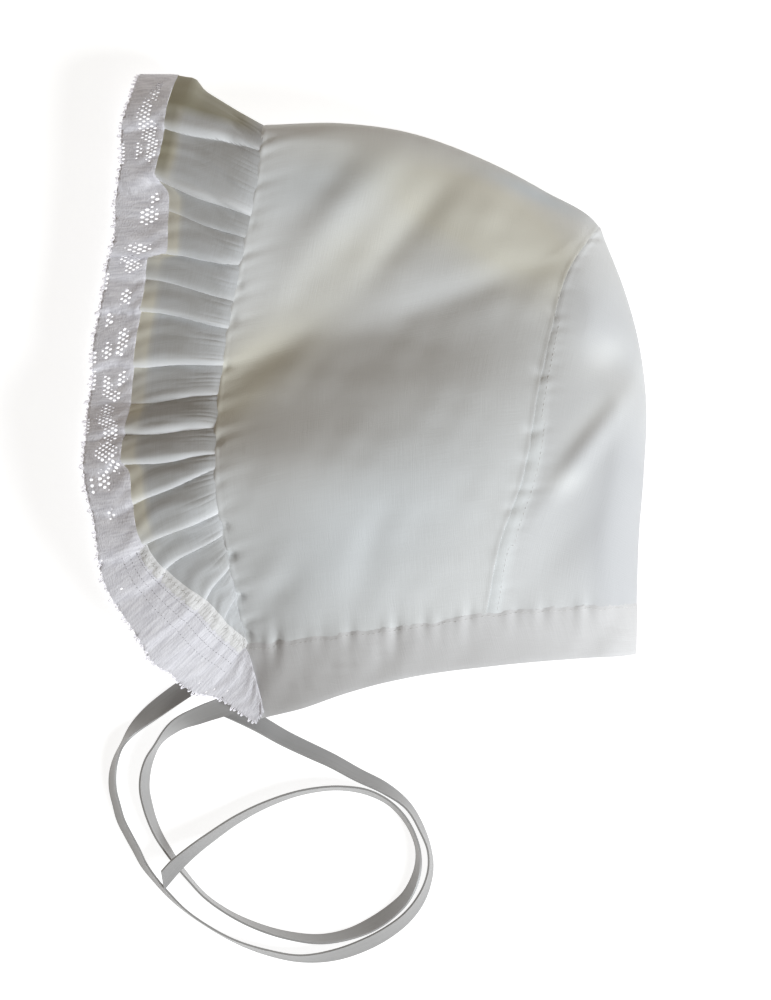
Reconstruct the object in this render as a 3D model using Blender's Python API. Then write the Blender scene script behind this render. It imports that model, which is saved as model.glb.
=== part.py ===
"""Baby bonnet lying on its side, in metres, resting on z = 0.

+X runs from the face opening to the back of the head, +Y from the neck to the top of the head, and +Z
upwards. The lower side lies flat, the upper side is puffed, and both meet in the rolled top and back folds.
"""
import math

import bpy
import numpy as np

# Driving sizes
BODY_LENGTH = 0.1293            # front seam to the back fold
BODY_HEIGHT = 0.1788            # lowest corner of the neck band to the top fold
PUFF_HEIGHT = 0.052             # highest place of the upper side
FRILL_WIDTH = 0.0262            # gathered cloth, from the front seam to the lace
LACE_WIDTH = 0.0135             # lace edging, across
BAND_HEIGHT = 0.018             # neck band, across
RIBBON_WIDTH = 0.006            # ties
CLOTH_WALL = 0.001              # crown, back panel, frill and lace
BAND_WALL = 0.0014              # neck band, of doubled cloth
RIBBON_WALL = 0.001             # ties
FRILL_FOLD = 0.0026             # height of the frill's gathers
PICOT_DEPTH = 0.0009            # small scallops of the lace's outer edge
SEAM_GAP = 0.0003               # between pieces that are sewn together
RUFFLE_GAP = 0.0004             # between the frill and the seam, where their slopes differ
REST_GAP = 0.0002               # under the ties
SINK = 0.16                     # share of its height that the ruffle sinks by at its outer edge

# Facets
CROWN_GRID = (18, 42)
PANEL_FACETS = 14
BAND_GRID = (40, 2)
RUFFLE_COLUMNS = 140            # round the frill
LACE_ENDS = 9                   # more columns at each end of the lace, beside the band
FRILL_OUTS = (0, 0.28, 0.52, 0.76, 1)
LACE_OUTS = (0, 0.32, 0.68, 1)
RIBBON_STEPS = 68
TRACE_STEPS = 240
CROWN_SOFTNESS = 0.12           # evenness of the facets round the top roll
PANEL_SOFTNESS = 0.25           # the same across the back fold
BAND_SOFTNESS = 0.12            # and along the band
RUFFLE_SOFTNESS = 0.05          # and along the ruffle
TIP_SIDE = 0.068                # where the back panel's narrow tip begins below the apex

# Rolled edge of the folded cloth, from the front seam over the top and down the back to the band's lower
# edge: place in shares of BODY_LENGTH and BODY_HEIGHT, then height, upper roll and lower roll in shares of
# PUFF_HEIGHT
FOLD_LINE = [
    # along  up     height upper  lower
    (0.111, 0.998, 0.42, 0.12, 0.32),
    (0.292, 1.000, 0.46, 0.14, 0.36),
    (0.432, 0.987, 0.46, 0.25, 0.36),
    (0.622, 0.940, 0.42, 0.42, 0.36),
    (0.763, 0.889, 0.36, 0.45, 0.32),
    (0.891, 0.831, 0.28, 0.34, 0.25),
    (0.916, 0.789, 0.28, 0.28, 0.25),
    (0.949, 0.725, 0.32, 0.26, 0.28),
    (0.984, 0.629, 0.36, 0.36, 0.30),
    (1.000, 0.529, 0.36, 0.22, 0.30),
    (0.995, 0.419, 0.34, 0.22, 0.30),
    (0.984, 0.302, 0.30, 0.25, 0.28),
    (0.981, 0.193, 0.25, 0.25, 0.24),
    (0.979, 0.109, 0.22, 0.22, 0.22),
]
APEX_ROW = 5                    # where the back seams meet on the fold
NECK_ROW = 12                   # where the band's upper edge meets the fold

# Front edge, from the top fold down the front seam and the band's front end
FRONT_EDGE = [
    # along  up
    (0.111, 0.998),
    (0.095, 0.906),
    (0.067, 0.805),
    (0.019, 0.629),
    (0.000, 0.453),
    (0.005, 0.369),
    (0.026, 0.285),
    (0.067, 0.122),
    (0.102, 0.000),
]
CORNER_ROW = 7                  # where the band begins

# Back seam, from the apex down to the band
BACK_SEAM = [
    (0.891, 0.831),
    (0.817, 0.755),
    (0.770, 0.639),
    (0.742, 0.550),
    (0.705, 0.406),
    (0.652, 0.294),
    (0.624, 0.181),
]

# Upper edge of the neck band, from the front to the back fold
BAND_TOP = [
    (0.067, 0.122),
    (0.292, 0.146),
    (0.483, 0.164),
    (0.624, 0.181),
    (0.742, 0.188),
    (0.863, 0.192),
    (0.981, 0.193),
]
SEAM_FOOT_ROW = 3               # where the back seam ends on the band

# Lower edge of the neck band
BAND_FOOT = [
    (0.102, 0.000),
    (0.195, 0.018),
    (0.304, 0.047),
    (0.443, 0.074),
    (0.640, 0.094),
    (0.800, 0.104),
    (0.979, 0.109),
]

# Heights of the upper side in shares of PUFF_HEIGHT: a valley crosses it from the front seam up to the back,
# between the top and the bulge above the neck
STATIONS_ALONG = (0.00, 0.20, 0.43, 0.66, 0.83, 0.99)
UPPER_SIDE = [
    # up    heights at the stations along
    (0.00, (0.13, 0.40, 0.58, 0.62, 0.56, 0.42)),
    (0.12, (0.26, 0.55, 0.70, 0.71, 0.63, 0.48)),
    (0.27, (0.62, 0.84, 0.92, 0.88, 0.78, 0.62)),
    (0.42, (0.84, 0.96, 1.00, 0.95, 0.86, 0.72)),
    (0.54, (0.62, 0.74, 0.86, 0.90, 0.84, 0.70)),
    (0.65, (0.54, 0.57, 0.66, 0.78, 0.80, 0.66)),
    (0.77, (0.60, 0.60, 0.66, 0.74, 0.72, 0.58)),
    (0.87, (0.63, 0.65, 0.68, 0.72, 0.64, 0.50)),
    (1.00, (0.62, 0.62, 0.62, 0.60, 0.52, 0.42)),
]

# Ruffle round the face: place along the seam in shares of its length, then the direction in degrees above -X
# and the reach in shares of FRILL_WIDTH or LACE_WIDTH
RUFFLE = [
    # along  frill angle, reach  lace angle, reach
    (0.000, 28.0, 1.17, 6.0, 0.85),
    (0.086, 26.0, 1.17, 0.0, 0.93),
    (0.169, 25.0, 1.09, -4.0, 0.96),
    (0.262, 17.0, 0.92, -2.0, 1.09),
    (0.345, 16.0, 0.98, -6.0, 0.99),
    (0.421, 6.5, 0.99, -12.0, 0.97),
    (0.517, -5.0, 0.99, -3.0, 0.92),
    (0.613, -4.0, 1.00, -6.5, 0.92),
    (0.718, -23.0, 0.94, -17.0, 0.96),
    (0.757, -25.0, 0.88, -34.0, 1.14),
    (0.843, -51.0, 0.49, -43.0, 1.66),
    (0.920, -59.0, 0.26, -43.0, 1.66),
    (1.000, -60.0, 0.07, -50.0, 1.35),
    (1.070, -60.0, 0.00, -53.0, 0.67),
    (1.135, -60.0, 0.00, -60.0, 0.16),
]

# Crests of the gathers: place along the seam, height in shares of FRILL_FOLD, width in shares of FRILL_WIDTH
GATHERS = [
    (0.029, 0.7, 0.22),
    (0.102, 1.0, 0.26),
    (0.176, 0.8, 0.20),
    (0.222, 1.0, 0.20),
    (0.307, 1.0, 0.22),
    (0.370, 0.8, 0.20),
    (0.439, 1.0, 0.20),
    (0.508, 1.0, 0.20),
    (0.565, 0.9, 0.18),
    (0.625, 1.0, 0.20),
    (0.728, 1.0, 0.24),
    (0.785, 0.7, 0.18),
    (0.850, 0.6, 0.18),
    (0.930, 0.4, 0.20),
]

# Routes of the ties, from the band's front corner to the free end: x, y and the height of the lower edge above
# the surface in metres, and the lean in degrees, where 0 lies flat and 90 stands on an edge
TIE_NEAR_ROUTE = [
    (-0.0355, -0.0912, 0.0134, 0),
    (-0.0425, -0.0937, 0.0116, 14),
    (-0.0503, -0.0966, 0.0076, 30),
    (-0.0587, -0.1008, 0.0022, 56),
    (-0.0637, -0.1061, 0.0002, 78),
    (-0.0662, -0.1107, 0.0000, 70),
    (-0.0674, -0.1153, 0.0000, 63),
    (-0.0676, -0.1199, 0.0000, 54),
    (-0.0667, -0.1245, 0.0000, 52),
    (-0.0653, -0.1291, 0.0000, 61),
    (-0.0633, -0.1337, 0.0000, 66),
    (-0.0605, -0.1382, 0.0000, 68),
    (-0.0573, -0.1428, 0.0000, 70),
    (-0.0536, -0.1474, 0.0000, 77),
    (-0.0494, -0.1520, 0.0000, 77),
    (-0.0432, -0.1566, 0.0000, 80),
    (-0.0341, -0.1612, 0.0000, 78),
    (-0.0231, -0.1645, 0.0000, 74),
    (-0.0133, -0.1655, 0.0000, 70),
    (-0.0047, -0.1639, 0.0000, 64),
    (0.0023, -0.1609, 0.0000, 54),
    (0.0081, -0.1569, 0.0000, 56),
    (0.0124, -0.1526, 0.0000, 63),
    (0.0150, -0.1477, 0.0000, 69),
    (0.0162, -0.1428, 0.0000, 75),
    (0.0161, -0.1382, 0.0000, 79),
    (0.0146, -0.1333, 0.0000, 79),
    (0.0118, -0.1284, 0.0000, 77),
    (0.0075, -0.1240, 0.0000, 76),
    (0.0014, -0.1208, 0.0000, 73),
    (-0.0072, -0.1193, 0.0000, 72),
    (-0.0176, -0.1202, 0.0000, 70),
    (-0.0309, -0.1245, 0.0000, 64),
    (-0.0396, -0.1290, 0.0004, 58),
    (-0.0468, -0.1338, 0.0024, 46),
    (-0.0528, -0.1382, 0.0048, 30),
    (-0.0576, -0.1424, 0.0064, 18),
    (-0.0617, -0.1470, 0.0060, 10),
]
TIE_FAR_ROUTE = [
    (-0.0439, -0.0939, 0.0016, 4),
    (-0.0383, -0.0966, 0.0016, 24),
    (-0.0328, -0.0994, 0.0017, 32),
    (-0.0249, -0.1040, 0.0004, 41),
    (-0.0160, -0.1083, 0.0000, 45),
    (-0.0108, -0.1107, 0.0000, 45),
    (-0.0023, -0.1153, 0.0000, 53),
    (0.0063, -0.1196, 0.0000, 62),
    (0.0130, -0.1248, 0.0000, 74),
    (0.0173, -0.1321, 0.0000, 77),
    (0.0195, -0.1382, 0.0000, 81),
    (0.0199, -0.1437, 0.0000, 76),
    (0.0188, -0.1489, 0.0000, 70),
    (0.0164, -0.1541, 0.0000, 62),
    (0.0124, -0.1591, 0.0000, 56),
    (0.0069, -0.1634, 0.0000, 51),
    (-0.0004, -0.1673, 0.0000, 49),
    (-0.0096, -0.1704, 0.0000, 53),
    (-0.0200, -0.1714, 0.0000, 65),
    (-0.0298, -0.1696, 0.0000, 70),
    (-0.0405, -0.1658, 0.0000, 78),
    (-0.0487, -0.1612, 0.0000, 81),
    (-0.0552, -0.1566, 0.0000, 80),
    (-0.0601, -0.1520, 0.0000, 75),
    (-0.0642, -0.1474, 0.0000, 68),
    (-0.0677, -0.1428, 0.0000, 60),
    (-0.0700, -0.1383, 0.0000, 54),
    (-0.0725, -0.1337, 0.0000, 58),
    (-0.0748, -0.1291, 0.0000, 52),
    (-0.0761, -0.1245, 0.0000, 52),
    (-0.0772, -0.1199, 0.0000, 62),
    (-0.0773, -0.1153, 0.0000, 64),
    (-0.0764, -0.1107, 0.0000, 75),
    (-0.0744, -0.1061, 0.0000, 80),
    (-0.0711, -0.1015, 0.0000, 62),
    (-0.0659, -0.0967, 0.0000, 37),
    (-0.0598, -0.0921, 0.0006, 20),
    (-0.0531, -0.0875, 0.0016, 5),
]

LEFT = (FRILL_WIDTH + LACE_WIDTH - BODY_LENGTH) / 2
FOOT = -BODY_HEIGHT * 0.5436

COLOURS = {
    # node          red   green blue   roughness
    "crown": (0.80, 0.80, 0.80, 0.85),
    "back_panel": (0.82, 0.82, 0.82, 0.85),
    "neck_band": (0.76, 0.76, 0.75, 0.85),
    "frill": (0.68, 0.69, 0.70, 0.80),
    "lace_edging": (0.74, 0.73, 0.76, 0.75),
    "tie_near": (0.72, 0.71, 0.70, 0.45),
    "tie_far": (0.72, 0.71, 0.70, 0.45),
}


def smooth(knots, values, where):
    """Cubic through a table's rows, each with the slope of the parabola through it and its neighbours,
    carried on straight past the ends."""
    knots = np.asarray(knots, float)
    values = np.asarray(values, float)
    slopes = np.gradient(values, knots, axis=0)
    where = np.asarray(where, float)
    inside = np.clip(where, knots[0], knots[-1])
    cell = np.clip(np.searchsorted(knots, inside, side="right") - 1, 0, len(knots) - 2)
    width = knots[cell + 1] - knots[cell]
    part = (inside - knots[cell]) / width
    past = where - inside
    if values.ndim > 1:
        width, part, past = width[..., None], part[..., None], past[..., None]
    start = values[cell] * (1 + 2 * part) * (1 - part) ** 2 + slopes[cell] * width * part * (1 - part) ** 2
    end = values[cell + 1] * part ** 2 * (3 - 2 * part) + slopes[cell + 1] * width * part ** 2 * (part - 1)
    return start + end + past * np.where(past < 0, slopes[0], slopes[-1])


def place(rows):
    """A table's shares along and up, as places in metres."""
    shares = np.array([row[:2] for row in rows])
    return np.array([LEFT, FOOT]) + shares * np.array([BODY_LENGTH, BODY_HEIGHT])


def chords(points):
    """Distance of each point from the first, along the chords."""
    return np.concatenate([[0.0], np.cumsum(np.linalg.norm(np.diff(points, axis=0), axis=1))])


FOLD_POINTS = place(FOLD_LINE)
FOLD_WAY = chords(FOLD_POINTS)
FRONT_POINTS = place(FRONT_EDGE)
FRONT_WAY = chords(FRONT_POINTS)
SEAM_LENGTH = FRONT_WAY[CORNER_ROW]
BACK_POINTS = place(BACK_SEAM)
BAND_TOP_POINTS = place(BAND_TOP)
BAND_FOOT_POINTS = place(BAND_FOOT)


def share_along(points, share):
    """Place at a share of a line's length, for lines read from end to end."""
    way = chords(points)
    return smooth(way / way[-1], points, share)


def fold(way):
    return smooth(FOLD_WAY, FOLD_POINTS, way)


def front(share):
    """Place on the front edge, where share 1 is the band's upper corner."""
    return smooth(FRONT_WAY / SEAM_LENGTH, FRONT_POINTS, share)


def rolled(side, softness):
    """Share of the way from the fold for a place from -1, through the fold at 0, to 1: it grows with the
    square near the fold, so that a round roll is sampled evenly, and in proportion further on."""
    return (np.sqrt(side ** 2 + softness ** 2) - softness) / (math.sqrt(1 + softness ** 2) - softness)


def nearest_on_fold(points):
    """Distance of each place from the fold line, and the way along the line to its nearest point."""
    ways = np.linspace(0, FOLD_WAY[-1], TRACE_STEPS)
    trace = fold(ways)
    start, step = trace[:-1], np.diff(trace, axis=0)
    flat = points.reshape(-1, 1, 2)
    part = np.clip(((flat - start) * step).sum(2) / (step ** 2).sum(1), 0, 1)
    gap = np.linalg.norm(flat - start - part[..., None] * step, axis=2)
    best = gap.argmin(1)
    rows = np.arange(len(best))
    way = ways[best] + part[rows, best] * (ways[1] - ways[0])
    return gap[rows, best].reshape(points.shape[:-1]), way.reshape(points.shape[:-1])


def upper_height(points):
    """Height of the upper side away from the folds, from the table of heights."""
    along = (points[..., 0] - LEFT) / BODY_LENGTH
    up = (points[..., 1] - FOOT) / BODY_HEIGHT
    table = np.array([heights for _, heights in UPPER_SIDE])
    rows = smooth([share for share, _ in UPPER_SIDE], table, up)
    cell_rows = rows.reshape(-1, len(STATIONS_ALONG))
    read = [smooth(STATIONS_ALONG, row, where) for row, where in zip(cell_rows, along.ravel())]
    return PUFF_HEIGHT * np.array(read).reshape(along.shape)


def body_surface(points, side, rest):
    """Raise places to the cloth's height: from the fold's height, a quarter of an ellipse up to the upper
    side where side is negative, and one down to the resting height where it is positive."""
    gap, way = nearest_on_fold(points)
    table = np.array([row[2:] for row in FOLD_LINE]) * PUFF_HEIGHT
    edge, upper_roll, lower_roll = np.moveaxis(smooth(FOLD_WAY, table, way), -1, 0)
    roll = np.where(side < 0, upper_roll, lower_roll)
    share = np.clip(gap / roll, 0, 1)
    turn = np.sqrt(1 - (1 - share) ** 2)
    upper = edge + (upper_height(points) - edge) * turn
    lower = edge + (rest - edge) * turn
    height = np.where(side < 0, upper, lower)
    return np.concatenate([points, height[..., None]], axis=-1)


def grid_normals(grid):
    """Unit normal at each point of a grid, across its two directions."""
    across = np.cross(np.gradient(grid, axis=0), np.gradient(grid, axis=1))
    return across / np.maximum(np.linalg.norm(across, axis=-1, keepdims=True), 1e-12)


def wall(name, middle, normals, thickness, keep=None):
    """Closed wall round a grid of points: a skin on each side and a rim along every open edge."""
    rows, columns = middle.shape[:2]
    if keep is None:
        keep = np.ones((rows - 1, columns - 1), bool)
    skins = np.concatenate([(middle + normals * thickness / 2).reshape(-1, 3),
                            (middle - normals * thickness / 2).reshape(-1, 3)])
    under = rows * columns
    index = np.arange(under).reshape(rows, columns)
    faces = []
    for i in range(rows - 1):
        for j in range(columns - 1):
            if not keep[i, j]:
                continue
            a, b, c, d = index[i, j], index[i + 1, j], index[i + 1, j + 1], index[i, j + 1]
            faces.append((a, b, c, d))
            faces.append((d + under, c + under, b + under, a + under))
            for (p, q), (k, m) in zip(((a, b), (b, c), (c, d), (d, a)),
                                      ((i, j - 1), (i + 1, j), (i, j + 1), (i - 1, j))):
                inside = 0 <= k < rows - 1 and 0 <= m < columns - 1 and keep[k, m]
                if not inside:
                    faces.append((q, p, p + under, q + under))
    if (grid_normals(middle) * normals).sum() < 0:
        faces = [face[::-1] for face in faces]
    used = np.unique(np.concatenate([np.array(face) for face in faces]))
    new_index = np.zeros(len(skins), int)
    new_index[used] = np.arange(len(used))
    mesh = bpy.data.meshes.new(name)
    mesh.from_pydata(skins[used].tolist(), [], [tuple(new_index[list(face)].tolist()) for face in faces])
    mesh.update()
    return add_object(name, mesh)


def add_object(name, mesh):
    mesh.shade_smooth()
    red, green, blue, roughness = COLOURS[name]
    material = bpy.data.materials.new(name)
    material.use_nodes = True
    shader = material.node_tree.nodes["Principled BSDF"]
    shader.inputs["Base Color"].default_value = (red, green, blue, 1)
    shader.inputs["Roughness"].default_value = roughness
    shader.inputs["Metallic"].default_value = 0
    mesh.materials.append(material)
    made = bpy.data.objects.new(name, mesh)
    bpy.context.scene.collection.objects.link(made)
    return made


def make_crown():
    """Cloth between the front seam and the back seam: a patch blended from its four edges, carried from the
    upper side's neck edge over the top fold to the lower side's."""
    across = np.linspace(0, 1, CROWN_GRID[0] + 1)[:, None]
    side = np.linspace(-1, 1, CROWN_GRID[1] + 1)[None, :]
    down = rolled(side, CROWN_SOFTNESS)
    seam = share_along(BACK_POINTS, down)
    width = np.linalg.norm(seam - front(down), axis=-1)
    across = across * (1 - SEAM_GAP / 2 / width)
    down = down * (1 - SEAM_GAP / SEAM_LENGTH)
    top = fold(across * FOLD_WAY[APEX_ROW])
    neck = share_along(BAND_TOP_POINTS[:SEAM_FOOT_ROW + 1], across)
    left, right = front(down), share_along(BACK_POINTS, down)
    u, v = across[..., None], down[..., None] * np.ones_like(across)[..., None]
    corners = ((1 - u) * (1 - v) * FOLD_POINTS[0] + u * (1 - v) * FOLD_POINTS[APEX_ROW]
               + (1 - u) * v * BAND_TOP_POINTS[0] + u * v * BAND_TOP_POINTS[SEAM_FOOT_ROW])
    plan = (1 - v) * top + v * neck + (1 - u) * left + u * right - corners
    middle = body_surface(plan, side + 0 * across, CLOTH_WALL / 2)
    return wall("crown", middle, grid_normals(middle), CLOTH_WALL)


def make_back_panel():
    """Pointed cloth between the back seams: straight lines from the back fold to each seam, with the band's
    edge as its foot."""
    side = np.linspace(-1, 1, PANEL_FACETS + 1)[:, None]
    crown_rows = np.maximum(np.linspace(0, 1, CROWN_GRID[1] // 2 + 1)[1:], TIP_SIDE)
    down = rolled(crown_rows, CROWN_SOFTNESS)[None, :] * (1 - SEAM_GAP / SEAM_LENGTH)
    crease = fold(FOLD_WAY[APEX_ROW] + down * (FOLD_WAY[NECK_ROW] - FOLD_WAY[APEX_ROW]))
    seam = share_along(BACK_POINTS, down)
    width = np.linalg.norm(seam - crease, axis=-1)
    reach = rolled(side, PANEL_SOFTNESS) * (1 - SEAM_GAP / 2 / width)
    foot = share_along(BAND_TOP_POINTS[SEAM_FOOT_ROW:], 1 - reach)
    straight = (BAND_TOP_POINTS[SEAM_FOOT_ROW] * reach[..., None]
                + BAND_TOP_POINTS[-1] * (1 - reach[..., None]))
    plan = crease + (seam - crease) * reach[..., None] + down[..., None] * (foot - straight)
    middle = body_surface(plan, side + 0 * down, CLOTH_WALL / 2)
    return wall("back_panel", middle, -grid_normals(middle), CLOTH_WALL)


def make_neck_band():
    """Band along the neck edge, from the upper side's front corner round the back fold to the lower one."""
    side = np.linspace(-1, 1, BAND_GRID[0] + 1)[:, None]
    down = np.linspace(SEAM_GAP / 2 / BAND_HEIGHT, 1, BAND_GRID[1] + 1)[None, :]
    along = 1 - rolled(side, BAND_SOFTNESS)
    top = share_along(BAND_TOP_POINTS, along)
    foot = share_along(BAND_FOOT_POINTS, along)
    plan = top + (foot - top) * down[..., None]
    middle = body_surface(plan, side + 0 * down, BAND_WALL / 2)
    return wall("neck_band", middle, -grid_normals(middle), BAND_WALL)


def ruffle_row(share):
    """Directions and reaches of the frill and the lace at a share of the seam's length."""
    table = np.array(RUFFLE)
    read = smooth(table[:, 0], table[:, 1:], share)
    frill_angle, frill_reach, lace_angle, lace_reach = np.moveaxis(read, -1, 0)
    frill_turn, lace_turn = np.radians(frill_angle), np.radians(lace_angle)
    frill_way = np.stack([-np.cos(frill_turn), np.sin(frill_turn)], axis=-1)
    lace_way = np.stack([-np.cos(lace_turn), np.sin(lace_turn)], axis=-1)
    frill_reach = np.maximum(frill_reach, 0) * FRILL_WIDTH
    lace_reach = np.maximum(lace_reach, 0) * LACE_WIDTH
    return frill_way, frill_reach, lace_way, lace_reach


def gathered(share, out):
    """Height of the gathers: a row of crests across the seam, none at the seam itself, highest a third of the
    way out and lower at the frill's edge and on the lace."""
    crests = 0
    for centre, height, width in GATHERS:
        crests = crests + height * np.exp(-((share - centre) * SEAM_LENGTH / (width * FRILL_WIDTH)) ** 2)
    swell = np.sin(np.pi * np.clip(out * 1.2, 0, 0.62)) * np.clip(1.5 - 0.6 * out, 0.45, 1)
    return FRILL_FOLD * crests * swell


def ruffle_surface(side, share, out, rest):
    """Middle of the ruffle: out runs from 0 at the seam to 1 at the lace and 2 at the lace's edge, the
    height sinks with it, and the gathers stand up from the surface that this makes."""
    seam = body_surface(front(share), side, rest)
    frill_way, frill_reach, lace_way, lace_reach = ruffle_row(share)
    frill_out = np.clip(out, 0, 1) * frill_reach
    lace_out = np.clip(out - 1, 0, 1) * lace_reach
    beside_seam = seam[..., :2] - (RUFFLE_GAP, 0)
    plan = beside_seam + frill_way * frill_out[..., None] + lace_way * lace_out[..., None]
    spread = (frill_out + lace_out) / (FRILL_WIDTH + LACE_WIDTH)
    height = rest + (seam[..., 2] - rest) * (1 - SINK * spread)
    base = np.concatenate([plan, height[..., None]], axis=-1)
    outward = grid_normals(base)
    lift = gathered(share, out)
    return base + outward * np.where(side < 0, lift, -lift)[..., None]


def ruffle_grid():
    """Middle and normals of frill and lace together, so that both follow one surface where they are sewn:
    the first columns are the frill's and the others the lace's."""
    step = 2 / RUFFLE_COLUMNS
    reach_along = 1 + LACE_ENDS * step
    side = np.linspace(-reach_along, reach_along, RUFFLE_COLUMNS + 2 * LACE_ENDS + 1)[:, None]
    share = rolled(side, RUFFLE_SOFTNESS)
    frill_reach, lace_reach = (np.maximum(reach, 3 * RUFFLE_GAP) for reach in ruffle_row(share)[1::2])
    picot = np.zeros((len(side), len(LACE_OUTS)))
    picot[::2, -1] = PICOT_DEPTH
    frill_out = np.array(FRILL_OUTS) * (1 - SEAM_GAP / 2 / frill_reach)
    lace_out = 1 + RUFFLE_GAP / lace_reach + np.array(LACE_OUTS) * (1 - RUFFLE_GAP / lace_reach)
    out = np.concatenate([frill_out, lace_out - picot / lace_reach], axis=1)
    middle = ruffle_surface(side + 0 * out, share + 0 * out, out, CLOTH_WALL / 2)
    normals = grid_normals(middle)
    plan = front(share[:, 0])[:, None, :] + np.array([[SEAM_GAP, 0.0], [0.0, 0.0]])
    normals[:, 0] = grid_normals(body_surface(plan, side + np.zeros((1, 2)), CLOTH_WALL / 2))[:, 1]
    edge = len(FRILL_OUTS)
    shared = normals[:, edge - 1:edge + 1].sum(axis=1, keepdims=True)
    normals[:, edge - 1:edge + 1] = shared / np.linalg.norm(shared, axis=-1, keepdims=True)
    return middle, normals


def make_frill():
    middle, normals = ruffle_grid()
    rows, columns = slice(LACE_ENDS, -LACE_ENDS), slice(0, len(FRILL_OUTS))
    return wall("frill", middle[rows, columns], normals[rows, columns], CLOTH_WALL)


def make_lace_edging():
    """Lace round the frill and along the band's front ends, pierced by a row of gaps, with small scallops."""
    middle, normals = ruffle_grid()
    middle, normals = middle[:, len(FRILL_OUTS):], normals[:, len(FRILL_OUTS):]
    keep = np.ones((len(middle) - 1, len(LACE_OUTS) - 1), bool)
    keep[2:-2:2, 1] = False
    return wall("lace_edging", middle, normals, CLOTH_WALL, keep)


def make_tie(name, route):
    """Flat ribbon: an oblong section carried along the smooth curve through the route, leaning as stated and
    raised so that its lower edge keeps the stated height."""
    route = np.array(route)
    way = chords(route[:, :3])
    read = smooth(way, route, np.linspace(0, way[-1], RIBBON_STEPS + 1))
    centre, lean = read[:, :3], np.radians(read[:, 3])
    centre[:, 2] = (np.maximum(centre[:, 2], 0) + REST_GAP
                    + (RIBBON_WIDTH * np.sin(lean) + RIBBON_WALL * np.cos(lean)) / 2)
    ahead = np.gradient(centre, axis=0)
    ahead /= np.linalg.norm(ahead, axis=1, keepdims=True)
    level = np.cross(ahead, (0, 0, 1))
    level /= np.linalg.norm(level, axis=1, keepdims=True)
    upward = np.cross(level, ahead)
    flat = level * np.cos(lean)[:, None] + upward * np.sin(lean)[:, None]
    middle = centre[:, None, :] + flat[:, None, :] * np.array([-0.5, 0.5])[None, :, None] * RIBBON_WIDTH
    normals = np.repeat(np.cross(ahead, flat)[:, None, :], 2, axis=1)
    return wall(name, middle, normals, RIBBON_WALL)


def main():
    for old in list(bpy.data.objects):
        bpy.data.objects.remove(old, do_unlink=True)
    make_crown()
    make_back_panel()
    make_neck_band()
    make_frill()
    make_lace_edging()
    make_tie("tie_near", TIE_NEAR_ROUTE)
    make_tie("tie_far", TIE_FAR_ROUTE)


main()
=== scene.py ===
"""Looks of the baby bonnet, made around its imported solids. Lengths are in metres.

+X runs from the face opening to the back of the head, +Y from the neck to the top of the head, and +Z
upwards. The bonnet lies on z = 0: its lower side is flat, its upper side is puffed, and both meet in the
rolled top and back folds. Every cloth is a grid of places worked out from its two parameters. Waver and
puckers take the place where their ripple starts as a last number, which only tells ripples apart.
"""
import math

import bpy
import numpy as np
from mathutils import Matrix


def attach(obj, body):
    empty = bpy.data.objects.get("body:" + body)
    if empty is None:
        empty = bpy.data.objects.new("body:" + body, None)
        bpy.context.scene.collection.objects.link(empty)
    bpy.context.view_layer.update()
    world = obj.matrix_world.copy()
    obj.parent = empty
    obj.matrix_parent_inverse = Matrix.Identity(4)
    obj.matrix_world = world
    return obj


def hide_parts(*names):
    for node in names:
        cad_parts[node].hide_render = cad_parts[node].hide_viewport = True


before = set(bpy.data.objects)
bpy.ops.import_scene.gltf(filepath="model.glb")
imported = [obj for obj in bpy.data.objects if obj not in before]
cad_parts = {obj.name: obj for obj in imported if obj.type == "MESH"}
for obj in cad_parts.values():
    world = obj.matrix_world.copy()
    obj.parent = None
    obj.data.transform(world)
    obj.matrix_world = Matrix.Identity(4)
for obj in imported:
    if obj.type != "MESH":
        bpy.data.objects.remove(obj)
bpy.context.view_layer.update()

# Driving sizes
BODY_LENGTH = 0.1293            # front seam to the back fold
BODY_HEIGHT = 0.1788            # lowest corner of the neck band to the top fold
PUFF_HEIGHT = 0.052             # highest place of the upper side
FRILL_WIDTH = 0.0262            # gathered cloth, from the front seam to the lace
LACE_WIDTH = 0.0135             # lace edging, across
RIBBON_WIDTH = 0.006            # ties
BATISTE_WALL = 0.0006           # crown and back panel
BAND_WALL = 0.0011              # neck band, of doubled cloth
BAND_EDGE = 0.0005              # neck band at its stitched upper edge
FRILL_WALL = 0.0004             # sheer cloth of the frill
LACE_WALL = 0.0004              # threads of the lace
RIBBON_WALL = 0.0004            # ties
REST_WALL = 0.0013              # the lower side's middle lies half of this above the surface
SINK = 0.16                     # share of its height that the ruffle sinks by at its outer edge
TUCK = 0.0007                   # by which one cloth reaches under the next at a seam
PICOT_DEPTH = 0.0011            # thread loops along the lace's outer edge
HEM_ROOM = 0.0007               # under the lower layer's hem
EYE = (0.00615, -0.0312, 1.150) # place that the bonnet is seen from

# Facets
CROWN_GRID = (92, 400)
PANEL_GRID = (72, 220)
BAND_GRID = (420, 26)
FRILL_GRID = (2250, 21)
NET_CELLS = (330, 11)
RIBBON_GRID = (260, 6)
HEM_STEPS = 1900
TRACE_STEPS = 240
SHARP_ANGLE = 1.35              # rims are sharp, and threads of five or six sides stay round
FOLD_BLEND = 0.0006             # how much further another part of the fold line lies that still counts
CROWN_SOFTNESS = 0.12           # evenness of the facets round the top roll
TIP_SIDE = 0.068                # where the back panel's narrow tip begins below the apex
RUFFLE_SOFTNESS = 0.05          # the same evenness along the ruffle

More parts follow.
